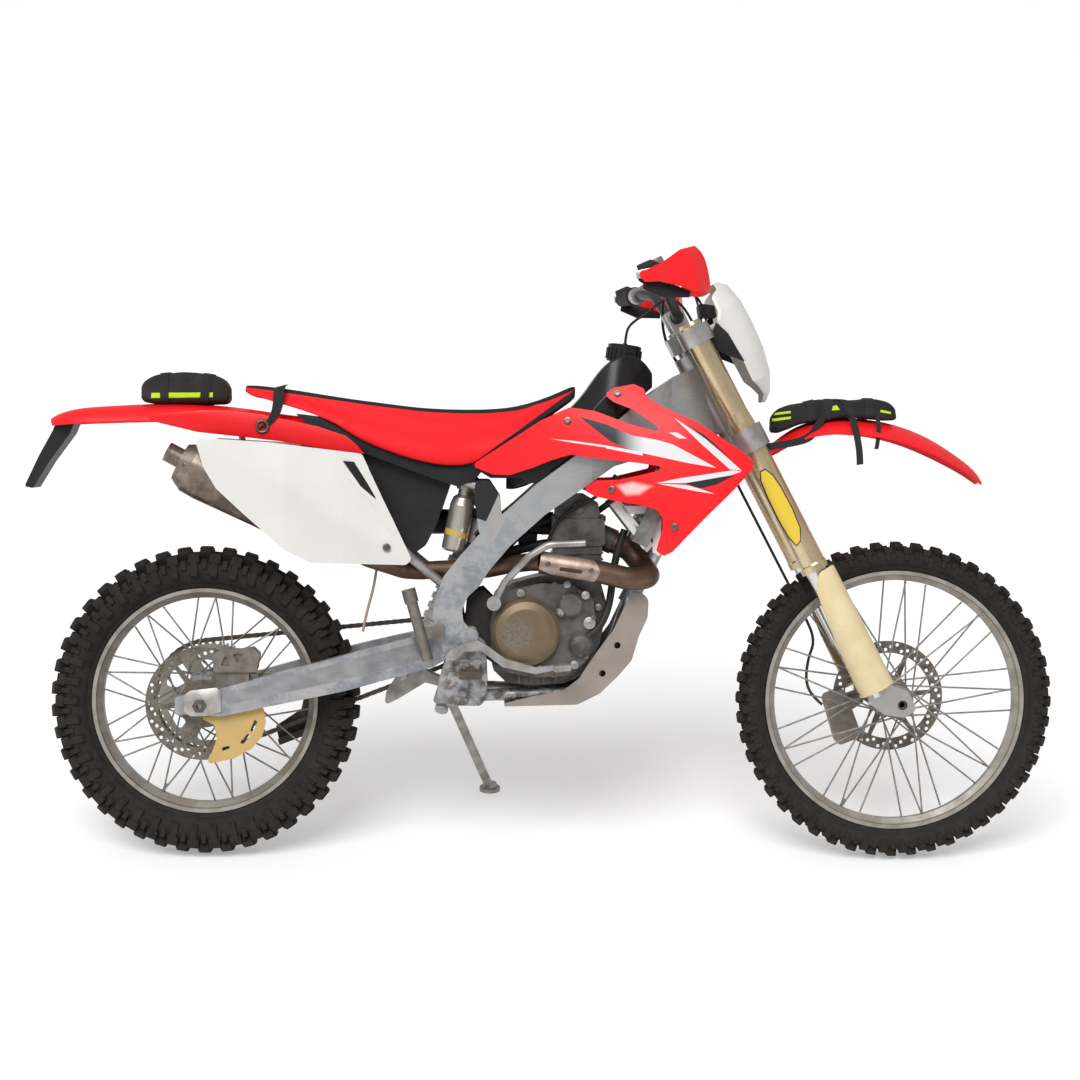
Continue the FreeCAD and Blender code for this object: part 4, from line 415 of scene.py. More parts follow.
@dataclass(frozen=True)
class ShroudFinish(Finish):
    """Red moulding with the bare stripes of the shrouds, a painted shadow along one groove and painted highlights.
    """

    silver: Colour = (0.80, 0.80, 0.82)
    # Near black of the printed marks and of the painted groove shadow.
    near_black: Colour = (0.02, 0.02, 0.03)
    # Colour of the painted highlight on the lower strut.
    highlight_colour: Colour = (0.9, 0.72, 0.7)
    fade: Pair = (0.86, 0.935)
    swoosh: tuple[tuple[Pair, ...], ...] = (
        ((792, 943), (847, 928), (901, 905), (888, 879), (857, 892), (826, 916)),
        ((888, 879), (901, 905), (949, 897), (983, 888), (969, 859), (922, 869)),
        ((969, 859), (983, 888), (1017, 870), (1073, 840), (1017, 849)),
    )
    stripes_shadow_and_highlight: tuple[tuple[bool, tuple[Pair, ...]], ...] = (
        (False, ((710, 898), (778, 893), (847, 884), (847, 878), (778, 889))),
        (False, ((847, 884), (922, 871), (922, 864), (847, 878))),
        # Painted shadow: this black line lies in the groove under the upper front edge.
        (True, ((965, 963), (1050, 906), (1128, 838), (1125, 834), (1050, 899))),
        (False, ((962, 960), (1050, 900), (1125, 835), (1094, 838), (1042, 889))),
        (True, ((1007, 808), (1051, 816), (1113, 826), (1072, 805), (1041, 797))),
        (False, ((1125, 833), (1092, 838), (1000, 818), (933, 807), (1011, 808), (1103, 825))),
        (False, ((946, 806), (1011, 804), (1041, 796), (1079, 783), (1035, 791), (970, 800))),
        # Painted highlight: this small silver mark stands in for the glint on the sticker.
        (False, ((976, 912), (993, 912), (1013, 900), (997, 900))),
    )
    # Outline of the painted highlight on the lower strut, a soft pale patch.
    painted_highlight: tuple[Pair, ...] = ((872, 800), (902, 808), (938, 800), (916, 784), (889, 782))

    def pattern(self, graph: Graph, point: Value, coat: Coat) -> Coat:
        """Lays the stripes, a painted groove shadow and painted highlights over the red.

        Args:
            graph: The material's graph.
            point: Coordinates on the upright machine.
            coat: The plain surface.

        Returns:
            The surface with its stripes and painted light.
        """
        x, _, _ = graph.axes(point)
        colour = coat.colour
        paint = graph.mix(x.band(*self.fade), self.near_black, self.silver)
        for outline in self.swoosh:
            colour = graph.mix(graph.patch(point, outline), colour, paint)
        # Black and silver lines: one black line is a painted shadow and one silver mark is a painted highlight.
        for dark, outline in self.stripes_shadow_and_highlight:
            paint = self.near_black if dark else self.silver
            colour = graph.mix(graph.patch(point, outline), colour, paint)
        # Painted highlight: a soft pale patch on the lower strut stands in for a glossy reflection.
        colour = graph.mix(graph.patch(point, self.painted_highlight, 0.012) * 0.8, colour, self.highlight_colour)
        return replace(coat, colour=colour)


@dataclass(frozen=True)
class TubeFinish(Finish):
    """Gold fork tube with painted highlight streaks and a blank yellow oval patch."""

    oval: tuple[Pair, ...] = (
        (14, 406), (25, 412), (36, 436), (40, 480), (39, 530), (35, 560), (27, 577),
        (17, 577), (10, 560), (7, 520), (6, 470), (8, 430),
    )
    oval_middle: Pair = (23, 491)
    yellow: Colour = (0.86, 0.62, 0.05)
    near_black: Colour = (0.02, 0.02, 0.02)
    # Colour of the painted highlight streaks.
    bright: Colour = (0.86, 0.76, 0.56)

    def space(self) -> Matrix:
        """Frame along the steering axis."""
        return STEERED

    def pattern(self, graph: Graph, point: Value, coat: Coat) -> Coat:
        """Adds painted highlight streaks along the tube and the patch.

        Args:
            graph: The material's graph.
            point: Coordinates along the steering axis.
            coat: The plain surface.

        Returns:
            The surface with its patch.
        """
        # Painted highlights: pale streaks drawn out along the tube stand in for reflections of the lamps.
        streak = graph.streaks(point, (1.0, 1.0, 0.05), 0.006).band(0.4, 0.75)
        colour = graph.mix(streak * 0.5, coat.colour, self.bright)
        _, y, _ = graph.axes(point)
        outside = y.size().band(0.108, 0.110)
        middle, height = self.oval_middle
        grown = [(x + (x - middle) * 0.16, s + (s - height) * 0.035) for x, s in self.oval]
        rim = graph.patch(point, grown) * outside
        inner = graph.patch(point, self.oval) * outside
        colour = graph.mix(rim, colour, self.near_black)
        colour = graph.mix(inner, colour, self.yellow)
        return Coat(colour, coat.rough, coat.height, (1 - rim) * coat.metal)


@dataclass(frozen=True)
class BrushedFinish(Finish):
    """Bare alloy with stains drawn out along its length, dark blotches low down and a black patch that is partly
    painted shadow.
    """

    course: Point = (0.12, 1.0, 1.0)
    stain: Colour = (0.25, 0.30, 0.40)
    stained: float = 0.62
    insets: tuple[tuple[Pair, ...], ...] = (
        ((52, 355), (300, 425), (478, 470), (478, 432), (300, 386), (60, 332)),
    )
    guard: tuple[Pair, ...] = ((614, 813), (683, 814), (615, 682), (600, 665))
    # Outline of the black patch beside the reservoir: partly a black hose's colour, partly painted shadow.
    hose_and_shadow_patch: tuple[Pair, ...] = ((540, 850), (640, 850), (622, 775), (598, 722), (560, 735))
    black: Colour = (0.012, 0.012, 0.013)
    # Colour of the dark blotches low on the frame.
    blotch_colour: Colour = (0.055, 0.046, 0.040)
    dull: tuple[Colour, Colour] = ((0.25, 0.255, 0.265), (0.40, 0.41, 0.43))
    pale: Colour = (0.53, 0.51, 0.49)

    def pattern(self, graph: Graph, point: Value, coat: Coat) -> Coat:
        """Adds streaks, stains, dark blotches low down, the arm's dull inset, a pale guard and a black patch for a
        hose and its painted shadow.

        Args:
            graph: The material's graph.
            point: Coordinates on the upright machine.
            coat: The plain surface.

        Returns:
            The stained surface.
        """
        streak = graph.streaks(point, self.course, 0.004)
        x, _, z = graph.axes(point)
        lower = z.band(0.78, 0.60) * 0.8 + 0.2
        # Dark blotches low on the frame, below about 0.46 m and ahead of about 0.5 m.
        low_dark_blotches = graph.noise(point, 0.022, 5.0, 0.65).band(0.42, 0.60) * z.band(0.50, 0.42)
        low_dark_blotches = low_dark_blotches * x.band(0.49, 0.53)
        stain = graph.noise(point, 0.055, 5.0, 0.68).band(0.40, 0.60) * lower
        colour = graph.mix(streak.band(0.35, 0.7) * 0.35, coat.colour, self.shade)
        colour = graph.mix(stain * self.stained, colour, self.stain)
        colour = graph.mix(low_dark_blotches * 0.8, colour, self.blotch_colour)
        for outline in self.insets:
            inset = graph.patch(point, outline, 0.003)
            blot = graph.streaks(point, (0.5, 1.0, 1.0), 0.03).band(0.35, 0.65)
            worn = graph.mix(blot, *self.dull)
            colour = graph.mix(inset * 0.75, colour, worn)
        colour = graph.mix(graph.patch(point, self.guard), colour, self.pale)
        # Painted black beside the reservoir, partly for a black hose and partly as painted shadow.
        dark = graph.patch(point, self.hose_and_shadow_patch)
        colour = graph.mix(dark, colour, self.black)
        rough = coat.rough + (streak - 0.5) * 0.2 + stain * 0.08
        return Coat(colour, rough, streak, (1 - dark) * coat.metal)


@dataclass(frozen=True)
class HeatFinish(Finish):
    """Steel browned by heat towards the engine."""

    hot: Colour = (0.15, 0.085, 0.06)
    rust: Colour = (0.09, 0.05, 0.035)
    rusty: float = 0.3
    heated: Pair = (0.05, 0.35)

    def pattern(self, graph: Graph, point: Value, coat: Coat) -> Coat:
        """Browns the forward end and adds stains that run across the pipe.

        Args:
            graph: The material's graph.
            point: Coordinates on the upright machine.
            coat: The plain surface.

        Returns:
            The browned surface.
        """
        x, _, _ = graph.axes(point)
        rust = graph.noise(point, 0.014, 6.0, 0.7).band(0.46, 0.68)
        cloud = graph.noise(point, 0.045, 5.0, 0.6).band(0.42, 0.7)
        heat = x.band(*self.heated)
        colour = graph.mix((heat * 0.75).most(cloud * 0.35), coat.colour, self.hot)
        colour = graph.mix(rust * self.rusty, colour, self.rust)
        return Coat(colour, coat.rough + rust * 0.2, rust, coat.metal)


@dataclass(frozen=True)
class WornCover(Finish):
    """Bronze cover with a patch worn bare by the rider's boot."""

    centre: Pair = (0.664, 0.483)
    bare: Colour = (0.26, 0.255, 0.26)

    def pattern(self, graph: Graph, point: Value, coat: Coat) -> Coat:
        """Wears the middle of the cover to bare alloy.

        Args:
            graph: The material's graph.
            point: Coordinates on the upright machine.
            coat: The plain surface.

        Returns:
            The worn surface.
        """
        x, _, z = graph.axes(point)
        ahead, above = x - self.centre[0], z - self.centre[1]
        edge = (graph.noise(point, 0.014, 6.0, 0.7) - 0.5) * 0.0034
        ragged = ahead * ahead + above * above + edge
        scuffs = graph.noise(point, 0.006, 5.0, 0.7).band(0.35, 0.6)
        bare = ragged.band(0.0018, 0.0003) * scuffs
        colour = graph.mix(bare * 0.6, coat.colour, self.bare)
        return Coat(colour, coat.rough - bare * 0.1, coat.height, coat.metal)


@dataclass(frozen=True)
class WeaveFinish(Finish):
    """Coated woven cloth."""

    pitch: float = 0.0011

    def pattern(self, graph: Graph, point: Value, coat: Coat) -> Coat:
        """Adds the weave's threads to the height.

        Args:
            graph: The material's graph.
            point: Coordinates on the upright machine.
            coat: The plain surface.

        Returns:
            The woven surface.
        """
        x, y, z = graph.axes(point)
        turn = 6.283 / self.pitch
        wide = graph.math("SINE", x * turn, 0.0)
        tall = graph.math("SINE", (y + z) * turn, 0.0)
        weave = wide * tall * 0.5 + 0.5
        colour = graph.mix(weave * 0.25, coat.colour, self.shade)
        return Coat(colour, coat.rough, weave, coat.metal)


@dataclass(frozen=True)
class StripedFinish(WeaveFinish):
    """Cloth with bright stripes on both sides."""

    stripes: tuple[tuple[Pair, ...], ...] = ()
    bright: Colour = (0.60, 0.86, 0.02)
    reach_y: float = 0.022

    def pattern(self, graph: Graph, point: Value, coat: Coat) -> Coat:
        """Lays the stripes over the weave.

        Args:
            graph: The material's graph.
            point: Coordinates on the upright machine.
            coat: The plain surface.

        Returns:
            The striped surface.
        """
        coat = super().pattern(graph, point, coat)
        _, y, _ = graph.axes(point)
        aside = y.size().band(self.reach_y, self.reach_y + 0.001)
        colour = coat.colour
        for outline in self.stripes:
            colour = graph.mix(graph.patch(point, outline) * aside, colour, self.bright)
        return replace(coat, colour=colour)


@dataclass(frozen=True)
class SeatFinish(Finish):
    """Red cover with a black top and a black band at its front."""

    black: Colour = (0.018, 0.018, 0.02)
    band_middle: Pair = (0.612, 0.866)
    band_slope: float = 0.74
    top: tuple[Pair, ...] = (
        (80, 1000), (150, 992), (205, 984), (261, 976), (315, 969), (369, 962), (425, 956),
        (476, 951), (583, 949), (630, 952), (669, 958), (700, 968), (733, 979), (800, 1012),
    )

    def pattern(self, graph: Graph, point: Value, coat: Coat) -> Coat:
        """Blackens the top and the band, with a seam below the top.

        Args:
            graph: The material's graph.
            point: Coordinates on the upright machine.
            coat: The plain surface.

        Returns:
            The surface in its two colours.
        """
        x, _, z = graph.axes(point)
        above = z - graph.line(x, self.top)
        cover = above.band(-0.0006, 0.0006)
        ahead, up = self.band_middle
        across = ((z - up) - (x - ahead) * self.band_slope).size()
        band = across.band(0.0095, 0.0085) * x.band(0.569, 0.571)
        both = cover.most(band)
        seam = (above + 0.0045).size().band(0.0010, 0.0003)
        colour = graph.mix(both, coat.colour, self.black)
        colour = graph.mix(seam * 0.55, colour, self.shade)
        rough = coat.rough + both * 0.12
        return Coat(colour, rough, coat.height - seam * 1.5, coat.metal)


@dataclass(frozen=True)
class CanFinish(Finish):
    """Metal can with one coloured band."""

    band_outline: tuple[Pair, ...] = ((500, 711), (565, 690), (561, 680), (498, 698))
    yellow: Colour = (0.62, 0.46, 0.10)

    def pattern(self, graph: Graph, point: Value, coat: Coat) -> Coat:
        """Paints the band.

        Args:
            graph: The material's graph.
            point: Coordinates on the upright machine.
            coat: The plain surface.

        Returns:
            The banded surface.
        """
        band = graph.patch(point, self.band_outline)
        colour = graph.mix(band, coat.colour, self.yellow)
        return Coat(colour, coat.rough, coat.height, (1 - band) * coat.metal)


@dataclass(frozen=True)
class PanelFinish(Finish):
    """White moulding with painted shade below a soft crease, where the side panels fall away."""

    crease: tuple[Pair, ...] = (
        (-40, 880), (45, 858), (104, 836), (164, 812), (224, 774), (284, 733), (375, 674),
        (450, 630),
    )
    # Colour of the painted shade below the crease.
    low: Colour = (0.70, 0.67, 0.61)

    def pattern(self, graph: Graph, point: Value, coat: Coat) -> Coat:
        """Paints shade on the part below the crease, easing off further down.

        Args:
            graph: The material's graph.
            point: Coordinates on the upright machine.
            coat: The plain surface.

        Returns:
            The surface with its painted shade.
        """
        x, _, z = graph.axes(point)
        below = graph.line(x, self.crease) - z
        # Painted shade: darkest just below the crease, a little lighter further down.
        share = below.band(-0.02, 0.03) * 0.35 - below.band(0.02, 0.10) * 0.15
        colour = graph.mix(share, coat.colour, self.low)
        return replace(coat, colour=colour)


@dataclass(frozen=True)
class GuardFinish(Finish):
    """Pale yellow moulding, deeper yellow at the rear wheel."""

    deep: Colour = (0.62, 0.39, 0.09)

    def pattern(self, graph: Graph, point: Value, coat: Coat) -> Coat:
        """Deepens the colour towards the rear.

        Args:
            graph: The material's graph.
            point: Coordinates on the upright machine.
            coat: The plain surface.

        Returns:
            The surface with its deeper end.
        """
        x, _, _ = graph.axes(point)
        colour = graph.mix(x.band(0.7, 0.5) * 0.85, coat.colour, self.deep)
        return replace(coat, colour=colour)


FINISHES: tuple[Finish, ...] = (
    BrushedFinish(
        "frame_alloy", (0.60, 0.60, 0.60), (0.38, 0.39, 0.41), 0.34, 0.8, depth=0.05,
        stain=(0.15, 0.185, 0.25),
    ),
    Finish("rail_silver", (0.44, 0.43, 0.42), (0.22, 0.20, 0.18), 0.42, 0.7, mottle=0.7),
    Finish(
        "engine_alloy", (0.15, 0.14, 0.13), (0.035, 0.031, 0.028), 0.42, 0.6, mottle=0.85,
        spread=0.045, grain=0.0015, depth=0.35,
    ),
    WornCover(
        "bronze_cover", (0.20, 0.145, 0.085), (0.15, 0.105, 0.062), 0.42, 0.6, grain=0.001,
        depth=0.15,
    ),
    Finish(
        "black_plastic", (0.011, 0.010, 0.012), (0.024, 0.023, 0.023), 0.5, depth=0.25,
        shine=0.3,
    ),
    Finish(
        "tank_black", (0.010, 0.009, 0.010), (0.022, 0.020, 0.020), 0.3, coat=0.1,
        shine=0.35,
    ),
    ShroudFinish(
        "red_plastic", (0.95, 0.012, 0.018), (0.76, 0.008, 0.010), 0.4, coat=0.06,
        mottle=0.25, spread=0.12, dust=0.12, depth=0.03, shine=0.3,
    ),
    PanelFinish(
        "white_plastic", (0.84, 0.83, 0.80), (0.74, 0.71, 0.65), 0.4, coat=0.15, mottle=0.35,
        spread=0.09, depth=0.04,
    ),
    GuardFinish(
        "guard_plastic", (0.86, 0.73, 0.44), (0.74, 0.58, 0.30), 0.5, mottle=0.5, depth=0.1,
    ),
    Finish(
        "seat_cover", (0.014, 0.013, 0.014), (0.03, 0.028, 0.028), 0.62, grain=0.0012,
        depth=0.3, shine=0.3,
    ),
    WeaveFinish(
        "bag_fabric", (0.016, 0.015, 0.016), (0.05, 0.045, 0.042), 0.75, depth=0.4,
        shine=0.3,
    ),
    StripedFinish(
        "tail_cloth", (0.016, 0.015, 0.016), (0.06, 0.052, 0.044), 0.72, depth=0.4,
        shine=0.3,
        stripes=(
            ((-112, 975), (18, 978), (18, 988), (-112, 986)),
        ),
    ),
    StripedFinish(
        "roll_cloth", (0.013, 0.012, 0.013), (0.036, 0.034, 0.032), 0.7, depth=0.4,
        shine=0.3,
        stripes=(
            ((1208, 938), (1246, 944), (1246, 949), (1208, 944)),
            ((1210, 951), (1246, 956), (1246, 961), (1210, 956)),
            ((1326, 962), (1350, 964), (1344, 974), (1328, 970)),
            ((1436, 960), (1460, 956), (1460, 961), (1438, 965)),
        ),
    ),
    WeaveFinish(
        "strap_web", (0.016, 0.015, 0.016), (0.035, 0.033, 0.032), 0.6, pitch=0.002,
        depth=0.5, shine=0.3,
    ),
    HeatFinish(
        "header_steel", (0.17, 0.115, 0.09), (0.09, 0.06, 0.045), 0.42, 0.8, depth=0.15,
        rusty=0.4,
    ),
    HeatFinish(
        "silencer_steel", (0.36, 0.295, 0.25), (0.065, 0.05, 0.04), 0.3, 0.75, mottle=0.9,
        spread=0.05, depth=0.06, dust=0.08, heated=(0.02, 0.26),
    ),
    Finish(
        "shield_alloy", (0.44, 0.35, 0.29), (0.20, 0.13, 0.10), 0.4, 0.7, mottle=0.8,
        spread=0.03,
    ),
    Finish(
        "cooler_alloy", (0.26, 0.25, 0.24), (0.10, 0.09, 0.085), 0.5, 0.6, mottle=0.7,
        spread=0.03,
    ),
    Finish(
        "skid_alloy", (0.36, 0.31, 0.275), (0.24, 0.195, 0.165), 0.5, 0.35, dust=0.3,
        depth=0.2,
    ),
    TubeFinish("fork_gold", (0.70, 0.56, 0.34), (0.46, 0.34, 0.185), 0.26, 0.8),
    Finish(
        "chrome_tube", (0.78, 0.76, 0.74), (0.55, 0.50, 0.42), 0.14, 0.95, dust=0.2,
        depth=0.02,
    ),
    Finish(
        "clamp_alloy", (0.56, 0.55, 0.54), (0.30, 0.28, 0.26), 0.38, 0.8, mottle=0.7,
        spread=0.03,
    ),
    Finish("bar_alloy", (0.045, 0.045, 0.05), (0.09, 0.085, 0.08), 0.45, 0.5),
    Finish(
        "grip_rubber", (0.010, 0.010, 0.010), (0.022, 0.021, 0.020), 0.7, depth=0.3,
        shine=0.3,
    ),
    Finish(
        "tyre_rubber", (0.012, 0.0105, 0.010), (0.028, 0.023, 0.020), 0.8, mottle=0.6,
        spread=0.02, dust=0.045, reach=1.2, grain=0.001, depth=0.35, shine=0.3,
    ),
    Finish(
        "rim_alloy", (0.44, 0.42, 0.39), (0.24, 0.20, 0.16), 0.42, 0.75, mottle=0.7,
        spread=0.035, dust=0.35, reach=1.2,
    ),
    Finish(
        "hub_alloy", (0.34, 0.33, 0.32), (0.14, 0.125, 0.11), 0.45, 0.75, mottle=0.7,
        spread=0.02,
    ),
    Finish(
        "disc_steel", (0.22, 0.20, 0.18), (0.09, 0.07, 0.055), 0.36, 0.85, mottle=0.8,
        spread=0.02, reach=1.0,
    ),
    Finish("chain_steel", (0.10, 0.085, 0.075), (0.035, 0.028, 0.024), 0.45, 0.7, spread=0.01),
    Finish("sprocket_alloy", (0.44, 0.41, 0.36), (0.20, 0.16, 0.12), 0.45, 0.8),
    Finish("spring_steel", (0.52, 0.50, 0.46), (0.32, 0.28, 0.24), 0.4, 0.4),
    CanFinish("titanium_can", (0.62, 0.58, 0.52), (0.42, 0.36, 0.29), 0.32, 0.8),
    Finish(
        "brake_bronze", (0.25, 0.225, 0.20), (0.085, 0.072, 0.062), 0.42, 0.7, mottle=0.7,
        spread=0.03, depth=0.4,
    ),
    Finish(
        "control_alloy", (0.46, 0.45, 0.44), (0.20, 0.18, 0.165), 0.4, 0.75, mottle=0.7,
        spread=0.03,
    ),
    SeatFinish(
        "seat_red", (0.95, 0.012, 0.020), (0.74, 0.006, 0.008), 0.62, mottle=0.3, dust=0.04,
        grain=0.0012, depth=0.2, shine=0.25,
    ),
    Finish("bolt_steel", (0.20, 0.18, 0.165), (0.08, 0.07, 0.06), 0.35, 0.85),
    Finish("hose_black", (0.010, 0.010, 0.011), (0.022, 0.021, 0.021), 0.5, shine=0.35),
    Finish("hose_tan", (0.42, 0.33, 0.22), (0.30, 0.22, 0.14), 0.5),
)
BY_SLOT = {finish.slot: finish for finish in FINISHES}


# Shared modelling steps


def alone(piece: bpy.types.Object) -> None:
    """Leaves one object selected and active.

    Args:
        piece: The object.
    """
    bpy.ops.object.select_all(action="DESELECT")
    piece.select_set(True)
    bpy.context.view_layer.objects.active = piece


class Editing:
    """Edit mode on one object, as a with block."""

    def __init__(self, piece: bpy.types.Object) -> None:
        """Keeps the object.

        Args:
            piece: The mesh to edit.
        """
        self.piece = piece

    def __enter__(self) -> "Editing":
        """Opens edit mode with everything selected.

        Returns:
            The same editing block.
        """
        alone(self.piece)
        bpy.ops.object.mode_set(mode="EDIT")
        bpy.ops.mesh.select_all(action="SELECT")
        return self

    def __exit__(self, *problem: object) -> None:
        """Leaves edit mode."""
        bpy.ops.object.mode_set(mode="OBJECT")

    def corners(self, test: Callable[[Vector], bool]) -> None:
        """Selects the vertices whose place passes a test.

        Args:
            test: Says of a place whether it is picked.
        """
        bpy.ops.mesh.select_mode(type="VERT")
        bpy.ops.mesh.select_all(action="DESELECT")
        mesh = bmesh.from_edit_mesh(self.piece.data)
        for corner in mesh.verts:
            corner.select_set(test(corner.co))
        mesh.select_flush(True)
        bmesh.update_edit_mesh(self.piece.data)

    def faces(self, test: Callable[[Vector, Vector], bool]) -> None:
        """Selects the faces whose middle and normal pass a test.

        Args:
            test: Says of a middle and a normal whether the face is picked.
        """
        bpy.ops.mesh.select_mode(type="FACE")
        bpy.ops.mesh.select_all(action="DESELECT")
        mesh = bmesh.from_edit_mesh(self.piece.data)
        for face in mesh.faces:
            face.select_set(test(face.calc_center_median(), face.normal))
        bmesh.update_edit_mesh(self.piece.data)


def primitive(add: Callable, **settings: object) -> bpy.types.Object:
    """Adds one of Blender's mesh primitives with nothing else selected.

    Args:
        add: The operator that adds it.
        settings: The operator's own settings.

    Returns:
        The new object.
    """
    bpy.ops.object.select_all(action="DESELECT")
    add(**settings)
    return bpy.context.active_object


def meshed(curve: bpy.types.Curve) -> bpy.types.Object:
    """Turns a curve into a mesh object.

    Args:
        curve: The curve's data.

    Returns:
        The new mesh object.
    """
    piece = bpy.data.objects.new("line", curve)
    bpy.context.scene.collection.objects.link(piece)
    alone(piece)
    bpy.ops.object.convert(target="MESH")
    return bpy.context.active_object


def block(size: Point, centre: Point, edge: float = 1.0, segments: int = 2) -> bpy.types.Object:
    """Box with bevelled edges.

    Args:
        size: Full size along each axis.
        centre: Its middle.
        edge: Width of the bevel.
        segments: Faces across the bevel.

    Returns:
        The new object.
    """
    piece = primitive(bpy.ops.mesh.primitive_cube_add, size=1)
    piece.data.transform(Matrix.Translation(centre) @ Matrix.Diagonal((*size, 1)))
    if edge:
        with Editing(piece):
            bpy.ops.mesh.bevel(offset=edge, segments=segments, affect="EDGES")
    return piece


def between(start: Vector, end: Vector) -> Matrix:
    """Matrix that lays the Z axis from start to end, centred between them."""
    turn = (end - start).to_track_quat("Z", "Y").to_matrix().to_4x4()
    return Matrix.Translation((start + end) / 2) @ turn


def rod(
    start: Point, end: Point, radius: float, sides: int = 16, edge: float = 0.0
) -> bpy.types.Object:
    """Round or many-sided bar between two points.

    Args:
        start: One end.
        end: The other end.
        radius: Its radius.
        sides: Number of sides.
        edge: Width of the bevel round both ends.

    Returns:
        The new object.
    """
    low, high = Vector(start), Vector(end)
    long = (high - low).length
    piece = primitive(
        bpy.ops.mesh.primitive_cylinder_add, vertices=sides, radius=radius, depth=long
    )
    if edge:
        with Editing(piece) as edit:
            edit.faces(lambda middle, normal: abs(middle.z) > long / 2 - 0.01)
            bpy.ops.mesh.bevel(offset=edge, segments=2, affect="EDGES")
    piece.data.transform(between(low, high))
    return piece


def drawn(points: Sequence[Point]) -> bpy.types.Object:
    """Closed loop of mesh edges through points, drawn as a curve first.

    Args:
        points: The corners in order.

    Returns:
        The new mesh object.
    """
    curve = bpy.data.curves.new("outline", "CURVE")
    curve.dimensions = "3D"
    line = curve.splines.new("POLY")
    line.points.add(len(points) - 1)
    for spot, point in zip(line.points, points):
        spot.co = (*point, 1)
    line.use_cyclic_u = True
    return meshed(curve)


def spun(profile: Sequence[Pair], steps: int) -> bpy.types.Object:
    """Turned shape about the Y axis.

    Args:
        profile: Pairs of radius and y, a closed loop.
        steps: Faces round the turn.

    Returns:
        The new object.
    """
    piece = drawn([(radius, y, 0) for radius, y in profile])
    with Editing(piece):
        bpy.ops.mesh.spin(steps=steps, angle=math.tau, center=(0, 0, 0), axis=(0, 1, 0))
        bpy.ops.mesh.select_all(action="SELECT")
        bpy.ops.mesh.remove_doubles(threshold=0.02)
        bpy.ops.mesh.normals_make_consistent(inside=False)
    return piece


def nurbs(route: Sequence[Point]) -> bpy.types.Curve:
    """Smooth open curve with the route's points as control points.

    Args:
        route: Points that steer it.

    Returns:
        The curve's data.
    """
    curve = bpy.data.curves.new("route", "CURVE")
    curve.dimensions = "3D"
    line = curve.splines.new("NURBS")
    line.points.add(len(route) - 1)
    for spot, point in zip(line.points, route):
        spot.co = (*point, 1)
    line.order_u = 3
    line.use_endpoint_u = True
    line.resolution_u = 8
    return curve


def hose(route: Sequence[Point], radius: float) -> bpy.types.Object:
    """Bent round bar along a smooth route, as a closed mesh.

    Args:
        route: Points that steer it.
        radius: Its radius.

    Returns:
        The new mesh object.
    """
    curve = nurbs(route)
    curve.bevel_depth = radius
    curve.bevel_resolution = 3
    curve.use_fill_caps = True
    return meshed(curve)


@dataclass(frozen=True)
class Station:
    """Cross-section of a long soft form, square to the machine."""

    x: float
    low: float
    high: float
    wide: float
    narrow: float


def lofted(stations: Sequence[Station], corner: float) -> bpy.types.Object:
    """Long form with rounded sections, drawn out station by station.

    Args:
        stations: Its sections from the rear to the front.
        corner: Rounding of the corners, as a share of the half width.

    Returns:
        The new object.
    """
    piece = primitive(bpy.ops.mesh.primitive_plane_add, size=2)
    piece.data.transform(Matrix.Rotation(math.pi / 2, 4, "Y"))
    first = stations[0]
    piece.data.transform(Matrix.Translation((first.x, 0, 0)))
    with Editing(piece) as edit:
        bpy.ops.mesh.subdivide(number_cuts=2)
        edit.corners(lambda spot: abs(spot.y) > 0.99 and abs(spot.z) > 0.99)
        bpy.ops.mesh.bevel(offset=corner, segments=4, affect="VERTICES")
        bpy.ops.mesh.select_all(action="SELECT")
        was = Station(first.x, -1, 1, 1, 1)
        for number, now in enumerate(stations):
            if number:
                step = {"value": (now.x - was.x, 0, 0)}
                bpy.ops.mesh.extrude_region_move(TRANSFORM_OT_translate=step)
            middle = (was.low + was.high) / 2
            tall = (now.high - now.low) / (was.high - was.low)
            bpy.ops.transform.resize(
                value=(1, now.wide / was.wide, tall), center_override=(now.x, 0, middle)
            )
            centre = (now.low + now.high) / 2
            bpy.ops.transform.translate(value=(0, 0, centre - middle))
            edit.corners(lambda spot: abs(spot.x - now.x) < 0.01 and spot.z > centre)
            taper = (now.narrow / now.wide) / (was.narrow / was.wide)
            bpy.ops.transform.resize(value=(1, taper, 1), center_override=(now.x, 0, centre))
            edit.corners(lambda spot: abs(spot.x - now.x) < 0.01)
            was = now
        bpy.ops.mesh.select_all(action="SELECT")
        bpy.ops.mesh.normals_make_consistent(inside=False)
    return piece


def copied(piece: bpy.types.Object, turn: Matrix) -> bpy.types.Object:
    """Copy with its own mesh, moved by a matrix.

    Args:
        piece: The object to copy.
        turn: The move.

    Returns:
        The copy.
    """
    twin = piece.copy()
    twin.data = piece.data.copy()
    twin.data.transform(turn)
    if turn.determinant() < 0:
        twin.data.flip_normals()
    bpy.context.scene.collection.objects.link(twin)
    return twin


def joined(pieces: Sequence[bpy.types.Object]) -> bpy.types.Object:
    """Joins objects into the first.

    Args:
        pieces: The objects, at least one.

    Returns:
        The joined object.
    """
    alone(pieces[0])
    for piece in pieces[1:]:
        piece.select_set(True)
    bpy.ops.object.join()
    return bpy.context.active_object


def modified(piece: bpy.types.Object, kind: str, **settings: object) -> bpy.types.Object:
    """Adds a modifier and applies it.

    Args:
        piece: The object.
        kind: The modifier's type.
        settings: Its attributes.

    Returns:
        The same object.
    """
    alone(piece)
    modifier = piece.modifiers.new(kind.lower(), kind)
    for key, setting in settings.items():
        setattr(modifier, key, setting)
    bpy.ops.object.modifier_apply(modifier=modifier.name)
    return piece


